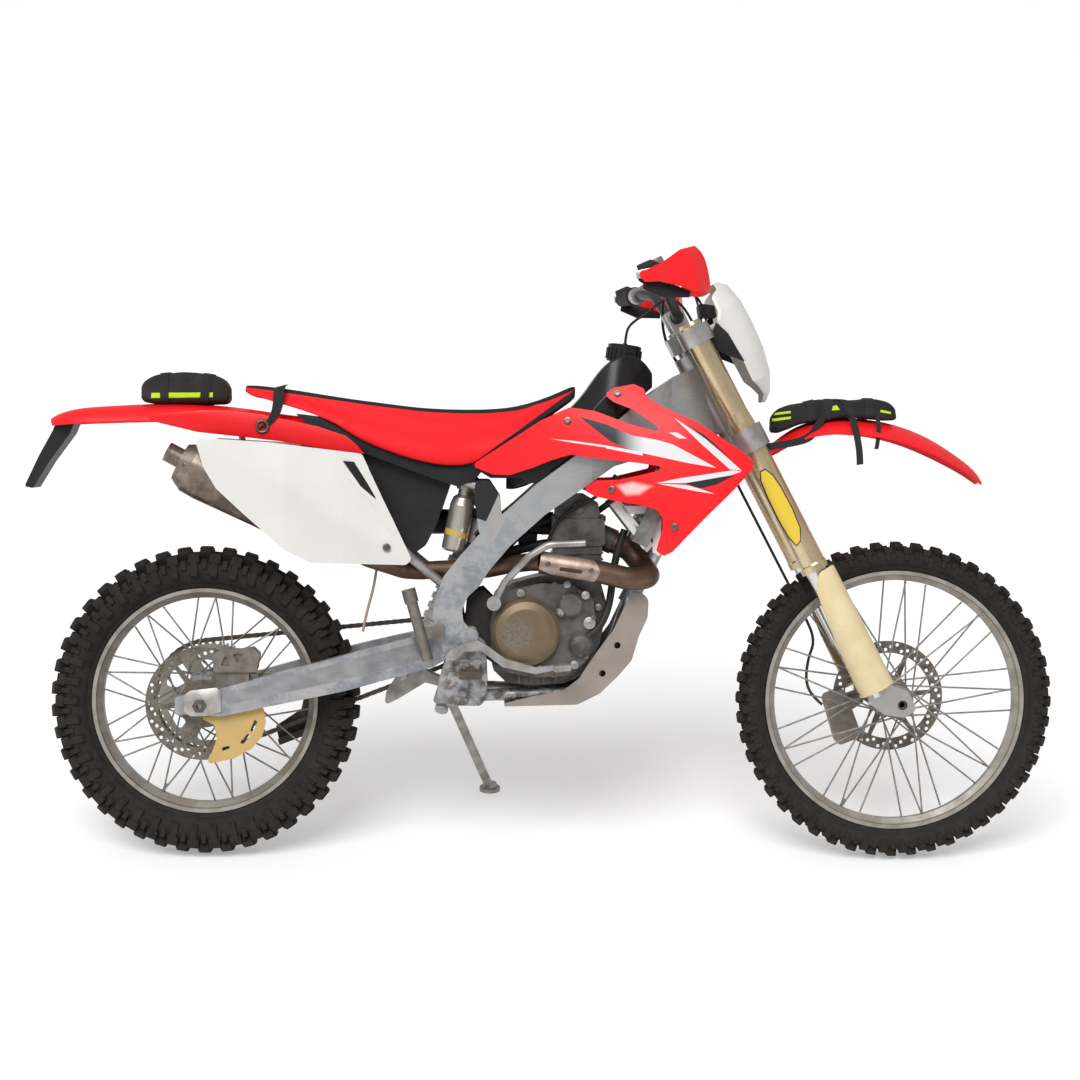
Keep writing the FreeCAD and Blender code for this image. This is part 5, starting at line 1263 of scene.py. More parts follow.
def mirrored(piece: bpy.types.Object) -> bpy.types.Object:
    """Copy on the other side of the machine's middle plane."""
    return copied(piece, Matrix.Scale(-1, 4, (0, 1, 0)))


def plate(outline: Sequence[Pair], low: float, high: float, edge: float = 0.0) -> bpy.types.Object:
    """Flat piece cut along an outline on the side, between two y values.

    Args:
        outline: Corners (x, z) in order.
        low: Its lower y.
        high: Its higher y.
        edge: Width of the bevel round it.

    Returns:
        The new object.
    """
    piece = drawn([(x, low, z) for x, z in outline])
    with Editing(piece):
        bpy.ops.mesh.edge_face_add()
        step = {"value": (0, high - low, 0)}
        bpy.ops.mesh.extrude_region_move(TRANSFORM_OT_translate=step)
        bpy.ops.mesh.select_all(action="SELECT")
        bpy.ops.mesh.normals_make_consistent(inside=False)
        if edge:
            bpy.ops.mesh.bevel(offset=edge, segments=2, affect="EDGES")
    return piece


def ribbon(route: Sequence[Point], across: Point, thick: float) -> bpy.types.Object:
    """Flat strap along a smooth route.

    Args:
        route: Points that steer its middle.
        across: Its width, as a vector.
        thick: Its thickness.

    Returns:
        The new object.
    """
    piece = meshed(nurbs(route))
    with Editing(piece):
        bpy.ops.mesh.extrude_edges_move(TRANSFORM_OT_translate={"value": across})
        bpy.ops.mesh.select_all(action="SELECT")
        bpy.ops.transform.translate(value=tuple(-part / 2 for part in across))
        bpy.ops.mesh.normals_make_consistent(inside=False)
    modified(piece, "SOLIDIFY", thickness=thick, offset=0)
    return piece


def girdle(
    piece: bpy.types.Object, place: Point, course: Point, wide: float, thick: float
) -> bpy.types.Object:
    """Strap that follows a piece's skin between two parallel planes.

    Args:
        piece: The piece that it goes round.
        place: A point on its middle line.
        course: Direction across the strap.
        wide: Its width.
        thick: Its thickness.

    Returns:
        The new object.
    """
    strap = copied(piece, Matrix.Identity(4))
    strap.data.materials.clear()
    normal = Vector(course).normalized()
    with Editing(strap):
        for side in (-1, 1):
            bpy.ops.mesh.select_all(action="SELECT")
            spot = Vector(place) + normal * (side * wide / 2)
            bpy.ops.mesh.bisect(plane_co=spot, plane_no=normal * side, clear_outer=True)
        bpy.ops.mesh.select_all(action="SELECT")
        bpy.ops.mesh.remove_doubles(threshold=0.3)
    modified(strap, "SOLIDIFY", thickness=thick, offset=1)
    return strap


def puffed(piece: bpy.types.Object, height: float, size: float, sag: float) -> bpy.types.Object:
    """Moves the skin of a soft piece in and out, as cloth over a filling.

    Args:
        piece: The soft piece.
        height: Largest move.
        size: Width of a fold.
        sag: Drop of its sides, per square of the distance from its middle.

    Returns:
        The same object.
    """
    for corner in piece.data.vertices:
        fold = noise.noise(corner.co / size) + noise.noise(corner.co / size * 2.3) * 0.5
        corner.co += corner.normal * (fold * height)
        corner.co.z -= sag * corner.co.y * corner.co.y
    return piece


def struck(node: str, start: Point, course: Point, space: Matrix) -> tuple[Vector, Vector]:
    """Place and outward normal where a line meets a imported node.

    Args:
        node: The node's name.
        start: Where the line starts, in millimetres.
        course: Its direction.
        space: The frame that both are in.

    Returns:
        The place in millimetres and the normal, in the same frame.
    """
    target = frame["nodes"][node]
    inward = target.matrix_world.inverted() @ space @ MILLI
    along = (inward.to_3x3() @ Vector(course)).normalized()
    hit, place, normal, _ = target.ray_cast(inward @ Vector(start), along)
    if not hit:
        raise ValueError(f"nothing of {node} lies on the line from {start}")
    outward = inward.inverted()
    return outward @ place, (outward.to_3x3() @ normal).normalized()


def screw(place: Vector, normal: Vector, radius: float, tall: float) -> bpy.types.Object:
    """Socket screw whose head stands on a surface.

    Args:
        place: Middle of its seat.
        normal: Its axis, outward.
        radius: Radius of its head.
        tall: Height of its head.

    Returns:
        The new object.
    """
    piece = primitive(bpy.ops.mesh.primitive_cylinder_add, vertices=18, radius=radius, depth=tall)
    with Editing(piece) as edit:
        edit.faces(lambda middle, facing: facing.z > 0.9)
        bpy.ops.mesh.bevel(offset=radius * 0.16, segments=2, affect="EDGES")
        edit.faces(lambda middle, facing: facing.z > 0.99)
        bpy.ops.mesh.inset(thickness=radius * 0.36)
        bpy.ops.mesh.inset(thickness=radius * 0.06, depth=-tall * 0.5)
    turn = normal.to_track_quat("Z", "Y").to_matrix().to_4x4()
    piece.data.transform(Matrix.Translation(place + normal * (tall / 2 - 0.6)) @ turn)
    return piece


def settled(
    piece: bpy.types.Object, name: str, space: Matrix, body: Body, slot: str, smooth: float = 35.0
) -> bpy.types.Object:
    """Places, paints and hangs a finished piece.

    Args:
        piece: The object, modelled in millimetres.
        name: Its name.
        space: The frame that it was modelled in.
        body: The body that carries it.
        slot: Its finish.
        smooth: Largest angle in degrees that is shaded smooth.

    Returns:
        The same object.
    """
    piece.name = name
    piece.data.name = name
    piece.data.transform(space @ MILLI)
    alone(piece)
    bpy.ops.object.shade_smooth_by_angle(angle=math.radians(smooth))
    if not piece.data.materials:
        piece.data.materials.append(BY_SLOT[slot].material())
    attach(piece, body.value)
    log.info("%s: %d faces", name, len(piece.data.polygons))
    return piece


# Wheels


@dataclass(frozen=True)
class Lug:
    """One kind of tread block, repeated round both sides of the tyre."""

    y: float
    wide: float
    long: float
    tilt: float
    phase: float
    sink: float = 1.0
    tall: float = 15.0


@dataclass(frozen=True)
class Tyre:
    """Knobbly tyre in place of the plain packed one."""

    name: str
    body: Body
    axle: Vector
    radius: float
    rows: int
    profile: tuple[Pair, ...]
    lugs: tuple[Lug, ...]
    rim_reach: float
    round_steps: int = 120
    root: float = 8.0
    taper: Pair = (0.86, 0.84)
    valve_turn: float = 205.0

    def casing(self) -> bpy.types.Object:
        """Crowned carcass with its bead bands."""
        far = [(radius, -y) for radius, y in reversed(self.profile[:-1])]
        return spun([*self.profile, *far], self.round_steps)

    def knob(self, lug: Lug) -> bpy.types.Object:
        """One tread block at the top of the tyre, narrower towards its face.

        Args:
            lug: The kind of block.

        Returns:
            The new object.
        """
        piece = block((lug.long, lug.wide, lug.tall + self.root), (0, 0, 0), 0)
        with Editing(piece) as edit:
            edit.faces(lambda middle, normal: normal.z > 0.9)
            bpy.ops.transform.resize(value=(*self.taper, 1))
            bpy.ops.mesh.inset(thickness=1.6, depth=0.0)
            bpy.ops.transform.translate(value=(0, 0, 0.5))
            edit.faces(lambda middle, normal: normal.z > -0.5)
            bpy.ops.mesh.bevel(offset=0.9, segments=1, affect="EDGES")
        lean = Matrix.Rotation(-math.radians(lug.tilt), 4, "X")
        lift = Matrix.Translation((0, 0, -(lug.tall + self.root) / 2))
        place = Matrix.Translation((0, lug.y, self.radius - lug.sink))
        piece.data.transform(place @ lean @ lift)
        return piece

    def valve(self) -> bpy.types.Object:
        """Valve stem through the rim.

        Returns:
            The new object, turned to its place.
        """
        reach = self.rim_reach
        stem = rod((0, 0, reach), (0, 0, reach - 34), 3.4, 12, 0.6)
        nut = rod((0, 0, reach - 2), (0, 0, reach - 6), 6.5, 6)
        valve = joined([stem, nut])
        valve.data.transform(Matrix.Rotation(math.radians(self.valve_turn), 4, "Y"))
        return valve

    def build(self) -> None:
        """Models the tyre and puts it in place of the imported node."""
        parts = [self.casing()]
        for lug in self.lugs:
            first = self.knob(lug)
            other = mirrored(first)
            for row in range(self.rows):
                angle = math.tau * (row + lug.phase) / self.rows
                for knob in (first, other):
                    parts.append(copied(knob, Matrix.Rotation(angle, 4, "Y")))
            bpy.data.objects.remove(first)
            bpy.data.objects.remove(other)
        space = MACHINE @ Matrix.Translation(self.axle * 0.001)
        tyre = settled(joined(parts), f"{self.name}_detailed", space, self.body, "tyre_rubber", 30)
        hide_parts(self.name)
        settled(self.valve(), f"{self.name}_valve", space, self.body, "bolt_steel")


REAR_TYRE = Tyre(
    "rear_tyre", Body.REAR, REAR_AXLE, 330, 42,
    (
        (237, 22), (244, 27), (248, 30), (251, 31), (253, 35), (262, 41), (272, 45.5), (282, 47),
        (289, 46.5), (295, 43), (301, 36), (306, 26), (310, 13), (311, 0),
    ),
    (
        Lug(13, 21, 28, 5, 0.0, 1.0, 20),
        Lug(33, 15, 26, 30, 0.04, 7.5, 20),
        Lug(45, 25, 27, 62, 0.5, 22, 13),
        Lug(50, 46, 17, 80, 0.5, 42, 5.5),
        Lug(49.5, 24, 12, 76, 0.0, 36, 4.5),
    ),
    236,
)
FRONT_TYRE = Tyre(
    "front_tyre", Body.FRONT, FRONT_AXLE, 341, 48,
    (
        (275, 16), (282, 21), (286, 24), (289, 25), (291, 28), (297, 32), (304, 34.5), (311, 35),
        (316, 33.5), (320, 29), (324, 22), (326, 12), (327, 0),
    ),
    (
        Lug(9, 15, 22, 4, 0.0, 1.0, 15),
        Lug(24, 12, 20, 28, 0.08, 5.5, 14),
        Lug(34, 18, 20, 60, 0.5, 16, 10),
        Lug(36.5, 27, 12, 80, 0.5, 27, 4.5),
        Lug(36.5, 14, 10, 76, 0.0, 25, 4),
    ),
    274,
)


@dataclass(frozen=True)
class Chain:
    """Roller chain round both sprockets, in place of the plain packed loop."""

    pitch: float = 15.875
    links: int = 114
    teeth: tuple[int, int] = (48, 13)
    centres: tuple[Pair, Pair] = ((0, 330), (640, 486))
    y: float = 75.0

    def line(self) -> list[Vector]:
        """Places of the pins, evenly along the loop.

        Returns:
            The places in order.
        """
        (x0, z0), (x1, z1) = self.centres
        big, small = (self.pitch / (2 * math.sin(math.pi / count)) for count in self.teeth)
        course = math.atan2(z1 - z0, x1 - x0)
        swing = math.asin((big - small) / math.hypot(x1 - x0, z1 - z0))
        corners = []
        for x, z, reach, start, sweep, steps in (
            (x0, z0, big, course + math.pi / 2 - swing, math.pi + 2 * swing, 60),
            (x1, z1, small, course - math.pi / 2 + swing, math.pi - 2 * swing, 20),
        ):
            for step in range(steps + 1):
                angle = start + sweep * step / steps
                ahead, up = reach * math.cos(angle), reach * math.sin(angle)
                corners.append(Vector((x + ahead, self.y, z + up)))
        corners.append(corners[0])
        runs = [(end - start).length for start, end in zip(corners, corners[1:])]
        pins = []
        for link in range(self.links):
            along = sum(runs) * link / self.links
            number = 0
            while along > runs[number]:
                along -= runs[number]
                number += 1
            pins.append(corners[number].lerp(corners[number + 1], along / runs[number]))
        return pins

    def side(self, y: float, thick: float) -> bpy.types.Object:
        """One link plate along X, waisted in its middle.

        Args:
            y: The plate's middle.
            thick: Its thickness.

        Returns:
            The new object.
        """
        half, end, waist = self.pitch / 2, 5.4, 4.2
        turns = (-1.2, -0.6, 0.0, 0.6, 1.2)
        ring = [(half + end * math.cos(turn), end * math.sin(turn)) for turn in turns]
        outline = [*ring, (0, waist), *[(-x, -z) for x, z in ring], (0, -waist)]
        return plate(outline, y - thick / 2, y + thick / 2)

    def build(self) -> None:
        """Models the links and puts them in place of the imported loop."""
        outer = joined([self.side(y, 1.6) for y in (-6.3, 6.3)])
        inner = joined([self.side(y, 1.6) for y in (-4.4, 4.4)])
        roller = rod((0, -3.5, 0), (0, 3.5, 0), 4.6, 12)
        pin = joined([rod((0, -7.3, 0), (0, 7.3, 0), 2.4, 8), roller])
        pins = self.line()
        parts = []
        for number, start in enumerate(pins):
            end = pins[(number + 1) % len(pins)]
            run = end - start
            turn = Matrix.Rotation(-math.atan2(run.z, run.x), 4, "Y")
            plates = outer if number % 2 else inner
            parts.append(copied(plates, Matrix.Translation((start + end) / 2) @ turn))
            parts.append(copied(pin, Matrix.Translation(start)))
        for model in (outer, inner, pin):
            bpy.data.objects.remove(model)
        chain = settled(joined(parts), "chain_links", MACHINE, Body.CHASSIS, "chain_steel", 30)
        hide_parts("chain")


# Soft pieces


@dataclass(frozen=True)
class Seat:
    """Padded seat with red sides and a black top."""

    stations: tuple[Station, ...] = (
        Station(84, 992, 1003, 46, 30), Station(94, 984, 1005, 60, 46),
        Station(125, 972, 1003, 76, 58), Station(177, 956, 997, 94, 72),
        Station(230, 940, 989, 102, 78), Station(282, 917, 981, 109, 82),
        Station(334, 883, 974, 114, 86), Station(387, 862, 968, 117, 87),
        Station(440, 843, 961, 119, 86), Station(492, 832, 958, 119, 84),
        Station(529, 829, 957, 118, 82), Station(566, 833, 957, 115, 78),
        Station(600, 848, 958, 110, 72), Station(640, 876, 961, 103, 66),
        Station(680, 903, 969, 93, 60), Station(733, 945, 987, 76, 52),
        Station(786, 982, 1013, 58, 42),
    )
    skirt: float = 9.0
    hollow: float = 18.0

    def build(self) -> None:
        """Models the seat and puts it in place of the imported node."""
        seat = lofted(self.stations, 0.3)
        with Editing(seat) as edit:
            edit.faces(lambda middle, normal: normal.z < -0.8 and 120 < middle.x < 700)
            bpy.ops.mesh.inset(thickness=self.skirt)
            bpy.ops.transform.translate(value=(0, 0, self.hollow))
        modified(seat, "SUBSURF", levels=1, render_levels=1)
        settled(seat, "seat_padded", MACHINE, Body.CHASSIS, "seat_red", 50)
        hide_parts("seat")


@dataclass(frozen=True)
class Bag:
    """Cloth bag strapped to a mudguard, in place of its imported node."""

    node: str
    body: Body
    slot: str
    space: Matrix
    stations: tuple[Station, ...]
    straps: tuple[tuple[Point, Point], ...]
    sag: float
    fill: float
    strap_wide: float = 18.0

    def build(self) -> None:
        """Models the bag with its straps."""
        bag = lofted(self.stations, 0.4)
        modified(bag, "SUBSURF", levels=2, render_levels=2)
        puffed(bag, 1.6, 34, self.sag)
        straps = [girdle(bag, place, course, self.strap_wide, 2.2) for place, course in self.straps]
        settled(bag, f"{self.node}_sewn", self.space, self.body, self.slot, 60)
        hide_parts(self.node)
        settled(joined(straps), f"{self.node}_straps", self.space, self.body, "strap_web", 45)


TAIL_BAG = Bag(
    "tail_bag", Body.CHASSIS, "tail_cloth", MACHINE,
    (
        Station(-137, 974, 1000, 36, 30), Station(-130, 966, 1012, 48, 40),
        Station(-112, 963, 1024, 56, 47), Station(-70, 963, 1031, 60, 50),
        Station(-30, 963, 1031, 61, 50), Station(10, 963, 1027, 58, 47),
        Station(36, 963, 1018, 53, 42), Station(46, 966, 1006, 46, 36),
        Station(50, 974, 998, 36, 30),
    ),
    (((-84, 0, 990), (1, 0, 0.05)), ((2, 0, 990), (1, 0, -0.1))), 0.0, 0.85,
)
TOOL_ROLL = Bag(
    "tool_roll", Body.FORK, "roll_cloth", MACHINE,
    (
        Station(1207, 919, 944, 30, 24), Station(1213, 912, 960, 38, 30),
        Station(1232, 920, 971, 44, 34), Station(1262, 935, 976, 48, 37),
        Station(1309, 945, 988, 51, 39), Station(1352, 950, 985, 51, 38),
        Station(1378, 951, 985, 50, 37), Station(1421, 949, 990, 53, 40),
        Station(1452, 944, 985, 49, 36), Station(1468, 944, 976, 40, 30),
        Station(1474, 949, 967, 30, 22),
    ),
    (
        ((1290, 0, 960), (1, 0, 0.1)), ((1346, 0, 965), (1, 0.55, 0)),
        ((1346, 0, 965), (1, -0.55, 0)), ((1412, 0, 965), (1, 0, -0.1)),
    ),
    0.0026, 0.8,
)


# Hoses and cables


class End(Enum):
    """Where the far end of a cord is."""

    OBJECT = "object"
    BARE = "bare"


class Lay(Enum):
    """How a cord lies."""

    LOOSE = "loose"
    HANGING = "hanging"


@dataclass(frozen=True)
class Cord:
    """Free hose or cable along a route in millimetres."""

    name: str
    body: Body
    space: Matrix
    radius: float
    slot: str
    route: tuple[Point, ...]
    end: End = End.OBJECT
    lay: Lay = Lay.LOOSE
    node: str = ""
    turning: tuple[Body, Point, Point] | None = None

    def placed(self, point: Point) -> Vector:
        """Point of the route in the row frame."""
        return self.space @ MILLI @ Vector(point)

    def build(self) -> None:
        """Models the cord, hangs it on its body unless it has a turning end, and hides the node it replaces."""
        curve = nurbs([self.placed(point) for point in self.route])
        piece = bpy.data.objects.new(self.name, curve)
        bpy.context.scene.collection.objects.link(piece)
        bare = bpy.data.meshes.new_from_object(piece)
        bpy.data.meshes.remove(bare)
        curve.bevel_depth = self.radius * 0.001
        curve.bevel_resolution = 3
        curve.use_fill_caps = True
        if self.turning:
            alone(piece)
            bpy.ops.object.convert(target="MESH")
            piece = bpy.context.active_object
            bpy.ops.object.shade_smooth()
        piece.data.materials.append(BY_SLOT[self.slot].material())
        if self.turning:
            other, start, end = self.turning
            places = {"start": self.placed(start), "end": self.placed(end)}
            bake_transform(piece)
        else:
            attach(piece, self.body.value)
        if self.node:
            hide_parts(self.node)


# Points of the steered cords are ahead of the steering axis, across it and along it.

CORDS: tuple[Cord, ...] = (
    Cord(
        "brake_hose_line", Body.FORK, STEERED, 3.2, "hose_black",
        (
            (-75.7, 84, 45.2), (-87, 88, 72), (-84, 98, 106), (-56, 108, 146), (-22, 110, 176),
            (-19, 104, 240), (-19, 103, 420), (-19, 103, 650), (-8, 103, 710), (-8, 101, 830),
            (-18, 98, 872), (-15, 92, 930), (10, 60, 986), (30, 10, 1010), (36, -70, 1020),
            (28, -150, 1031), (20, -252.2, 1031),
        ),
        node="brake_hose",
    ),
    Cord(
        "throttle_cable", Body.FORK, STEERED, 2.6, "hose_black",
        (
            (-9, -258, 1015), (-6, -242, 1010), (4, -210, 998), (32, -156, 992),
            (62, -104, 985), (74, -70, 950), (68, -59, 908), (53, -58, 893),
        ),
    ),
    Cord(
        "clutch_cable", Body.FORK, STEERED, 2.6, "hose_black",
        (
            (20, 252, 1034), (27, 228, 1038), (54, 180, 1050), (80, 116, 1046),
            (88, 74, 1006), (80, 62, 950), (68, 60, 908), (53, 60, 893),
        ),
    ),
    Cord(
        "tank_breather", Body.CHASSIS, MACHINE, 3.0, "hose_black",
        (
            (893, 0, 1103), (894, 0, 1118), (899, -1, 1138), (918, -3, 1155), (942, -4, 1168),
            (959, -4, 1187), (977, -4, 1199), (1005, -4, 1194), (1028, -4, 1166), (1040, -4, 1142),
        ),
        turning=(Body.FORK, (894, 0, 1108), (952, 0, 1176)),
    ),
    Cord(
        "drain_hose", Body.CHASSIS, MACHINE, 3.0, "hose_tan",
        (
            (372, -60, 690), (371, -60, 652), (366, -60, 613), (359, -61, 571),
            (347, -61, 530), (338, -62, 484),
        ),
        End.BARE, Lay.HANGING,
    ),
    Cord(
        "coolant_hose", Body.CHASSIS, MACHINE, 8.0, "hose_black",
        (
            (806, -100, 474), (836, -98, 492), (858, -90, 536), (866, -84, 590),
            (872, -80, 650), (892, -76, 706),
        ),
    ),
    Cord(
        "head_hose", Body.CHASSIS, MACHINE, 7.0, "hose_black",
        (
            (836, -30, 742), (856, -44, 760), (884, -58, 772), (916, -66, 764),
            (936, -70, 744),
        ),
    ),
    Cord(
        "loom", Body.CHASSIS, MACHINE, 3.5, "hose_black",
        (
            (700, -70, 640), (726, -74, 668), (738, -72, 706), (764, -66, 738),
            (806, -64, 760), (846, -66, 784), (872, -68, 822),
        ),
    ),
    Cord(
        "airbox_hose", Body.CHASSIS, MACHINE, 4.5, "hose_black",
        (
            (560, -62, 826), (582, -63, 808), (599, -64, 778), (603, -64, 745),
            (594, -63, 712), (575, -60, 690),
        ),
    ),
)


# Small fastened pieces


@dataclass(frozen=True)
class Screws:
    """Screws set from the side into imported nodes."""

    name: str
    body: Body
    space: Matrix
    spots: tuple[tuple[str, int, float, float, float], ...]
    slot: str = "bolt_steel"

    def build(self) -> None:
        """Sets each head where the side view shows it.

        A spot is the node, the side (-1 right, 1 left), both places and the head's radius.
        """
        heads = []
        for node, side, ahead, up, radius in self.spots:
            place, normal = struck(node, (ahead, side * 400, up), (0, -side, 0), self.space)
            heads.append(screw(place, normal, radius, radius * 0.75))
        settled(joined(heads), self.name, self.space, self.body, self.slot)


def ring_spots(centre: Pair, start: float) -> list[tuple[str, int, float, float, float]]:
    """Three screw spots round a boss on the engine's right side.

    Args:
        centre: The boss's middle (x, z).
        start: Angle of the first one.

    Returns:
        The spots, as Screws takes them.
    """
    reach, radius = 21, 3.2
    spots = []
    for number in range(3):
        turn = start + math.tau * number / 3
        ahead, up = reach * math.cos(turn), reach * math.sin(turn)
        spots.append(("crankcase", -1, centre[0] + ahead, centre[1] + up, radius))
    return spots


SHROUD_SPOTS: tuple[Pair, ...] = ((767, 935), (871, 993), (859, 793), (989, 717))
CASE_SPOTS: tuple[Pair, ...] = (
    (620, 430), (656, 407), (742, 399), (812, 438), (826, 520), (812, 566), (744, 590),
)
SCREWS: tuple[Screws, ...] = (
    Screws(
        "body_screws", Body.CHASSIS, MACHINE,
        (
            *(("shroud_right", -1, x, z, 7.5) for x, z in SHROUD_SPOTS),
            *(("shroud_left", 1, x, z, 7.5) for x, z in SHROUD_SPOTS),
            ("side_panel_right", -1, 390, 666, 8.5), ("side_panel_left", 1, 390, 666, 8.5),
        ),
    ),
    Screws(
        "engine_screws", Body.CHASSIS, MACHINE,
        (
            *(("crankcase", -1, x, z, 5.0) for x, z in CASE_SPOTS),
            *ring_spots((800, 462), 0.5),
            *ring_spots((778, 548), 0.2),
            ("heat_shield", -1, 728, 636, 5.5), ("heat_shield", -1, 818, 624, 5.5),
            ("main_frame", -1, 552, 408, 9), ("silencer", -1, -31, 836, 3.6),
        ),
    ),
    Screws(
        "guard_screws", Body.FORK, STEERED,
        (("hand_guards", -1, -38, 1045, 8), ("hand_guards", 1, -38, 1045, 8)),
    ),
)


@dataclass(frozen=True)
class Trim:
    """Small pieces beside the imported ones, right and left where both sides have one."""

    guard_top: tuple[Pair, ...] = ((-46, 1050), (-42, 1070), (-12, 1068), (4, 1050))
    guard_low: tuple[Pair, ...] = (
        (-52, 1024), (-44, 1034), (-18, 1022), (6, 1003), (30, 976), (22, 966), (-26, 992),
    )
    plate_mount: tuple[Pair, ...] = (
        (56, 876), (79, 899), (91, 867), (95, 798), (64, 833), (55, 850),
    )
    axle_block: tuple[Pair, ...] = (
        (-33, 318), (-33, 352), (-20, 362), (36, 369), (45, 361), (45, 317), (11, 308), (-20, 308),
    )
    cowl: tuple[Pair, ...] = (
        (-112, 940), (-108, 927), (-8, 904), (73, 896), (167, 886), (256, 871), (342, 861),
        (326, 880), (303, 899), (245, 918), (172, 933), (125, 943), (60, 950), (0, 950),
    )
    tank_skirt: tuple[Pair, ...] = (
        (560, 842), (583, 827), (607, 813), (670, 813), (684, 801), (712, 806), (743, 839),
        (775, 862), (743, 866), (646, 850),
    )
    # Black plate standing in for the shaded engine mount in the gap behind the engine: painted shade.
    engine_gap_shade: tuple[Pair, ...] = (
        (559, 568), (593, 576), (617, 552), (625, 478), (624, 413), (584, 440), (553, 494),
    )
    ducts: tuple[tuple[Point, ...], ...] = (
        (
            (557, -30, 664), (603, -30, 652), (640, -30, 665), (672, -28, 698), (705, -26, 716),
            (754, -24, 727),
        ),
        ((540, -20, 742), (590, -22, 735), (640, -24, 716), (690, -24, 700), (752, -20, 704)),
        ((612, -40, 640), (650, -42, 655), (692, -44, 668), (752, -36, 676)),
    )
    bosses: tuple[tuple[float, float, float], ...] = (
        (818, 509, 13), (757, 533, 10), (809, 568, 9), (672, 571, 9), (714, 411, 8),
        (787, 420, 9), (838, 540, 8), (770, 590, 8),
    )
    guard_end: tuple[Pair, ...] = ((-49, 1061), (-18, 1053), (-23, 1035), (-54, 1046))
    roll_ends: tuple[tuple[tuple[Point, ...], Point], ...] = (
        (
            (
                (1373, -66, 948), (1377, -84, 928), (1382, -89, 900), (1387, -88, 872),
                (1388, -86, 848),
            ),
            (14, 0, 2),
        ),
        (((1428, -60, 950), (1429, -72, 930), (1428, -76, 904), (1424, -76, 881)), (9, 0, 1)),
        (
            (
                (1318, -46, 960), (1302, -62, 930), (1283, -70, 903), (1249, -76, 893),
                (1193, -88, 884), (1162, -98, 879),
            ),
            (10, 0, -14),
        ),
    )
    seat_base: tuple[Pair, ...] = (
        (196, 945), (256, 938), (334, 896), (387, 875), (440, 856), (492, 845), (529, 841),
        (566, 845), (594, 862), (600, 842), (572, 806), (538, 794), (500, 806), (430, 831),
        (342, 862), (290, 880), (240, 908),
    )
    louvres: tuple[tuple[Pair, ...], ...] = (
        ((858, 760), (877, 772), (950, 676), (936, 660)),
        ((880, 758), (966, 758), (966, 743), (892, 740)),
        ((948, 748), (966, 748), (964, 652), (948, 660)),
        ((905, 722), (950, 700), (950, 690), (912, 708)),
    )
    panel_lip: tuple[Pair, ...] = (
        (312, 806), (334, 861), (339, 859), (370, 793), (413, 703), (404, 690), (392, 706),
        (364, 752),
    )
    panel_slot: tuple[Pair, ...] = ((299, 847), (322, 845), (352, 797), (371, 764), (336, 794))
    panel_curve: tuple[Pair, ...] = ((180, -158), (300, -140), (380, -122), (460, -108))

    def curved(self, outline: Sequence[Pair], offset: float, thick: float) -> bpy.types.Object:
        """Plate that follows the side panel's skin, outside it by an offset.

        Args:
            outline: Corners (x, z) in order.
            offset: Its distance from the skin.
            thick: Its thickness.

        Returns:
            The new object.
        """
        piece = plate(outline, -offset - thick, -offset)
        for corner in piece.data.vertices:
            for (x0, y0), (x1, y1) in zip(self.panel_curve, self.panel_curve[1:]):
                if x0 <= corner.co.x <= x1:
                    corner.co.y += y0 + (y1 - y0) * (corner.co.x - x0) / (x1 - x0)
                    break
        return piece

    def build(self) -> None:
        """Models each piece of trim."""
        frame_black = (Body.CHASSIS, MACHINE, "black_plastic")
        frame_white = (Body.CHASSIS, MACHINE, "white_plastic")
        fork_black = (Body.FORK, STEERED, "black_plastic")
        self.cap()
        cowl = plate(self.cowl, -98, -95, 1.0)
        self.both(cowl, "tail_cowls", Body.CHASSIS, MACHINE, "red_plastic")
        self.both(plate(self.seat_base, -97.5, -95, 0.8), "seat_base", *frame_black)
        bars = joined([plate(outline, -124, -120, 1.0) for outline in self.louvres])
        self.both(bars, "louvre_bars", *frame_white)
        self.both(plate(self.tank_skirt, -99, -96, 0.8), "tank_skirts", *frame_black)
        # Black plates on both sides paint the shade in the gap behind the engine.
        self.both(plate(self.engine_gap_shade, -66, -62, 0.8), "engine_gap_shades", *frame_black)
        ducts = joined([hose(route, 11) for route in self.ducts])
        settled(ducts, "rubber_ducts", MACHINE, Body.CHASSIS, "hose_black", 60)
        self.case_bosses()
        self.both(self.curved(self.panel_lip, 0.2, 1.2), "panel_lips", *frame_white)
        self.both(self.curved(self.panel_slot, 0.4, 1.4), "panel_slots", *frame_black)
        self.both(plate(self.plate_mount, -106, -96, 1.5), "plate_mounts", *fork_black)
        edges = joined([plate(line, -404, -399, 1.2) for line in (self.guard_top, self.guard_low)])
        end = plate(self.guard_end, -407, -403, 1.0)
        self.both(end, "guard_ends", Body.FORK, STEERED, "clamp_alloy")
        self.both(edges, "guard_edges", *fork_black)
        axle = plate(self.axle_block, -122, -118.2, 1.2)
        self.both(axle, "axle_blocks", Body.CHASSIS, MACHINE, "clamp_alloy")
        bead = ((652, -112, 751), (661, -112.4, 739), (669, -112.4, 726), (686, -112, 705))
        weld = hose(bead, 1.7)
        self.both(weld, "spar_welds", Body.CHASSIS, MACHINE, "frame_alloy")
        knob = rod((555.6, -44, 798), (558, -44, 810), 9, 24, 1.5)
        settled(knob, "reservoir_knob", MACHINE, Body.CHASSIS, "red_plastic")
        self.seat_strap()
        ends = joined([ribbon(route, across, 1.8) for route, across in self.roll_ends])
        settled(ends, "roll_strap_ends", MACHINE, Body.FORK, "strap_web", 60)

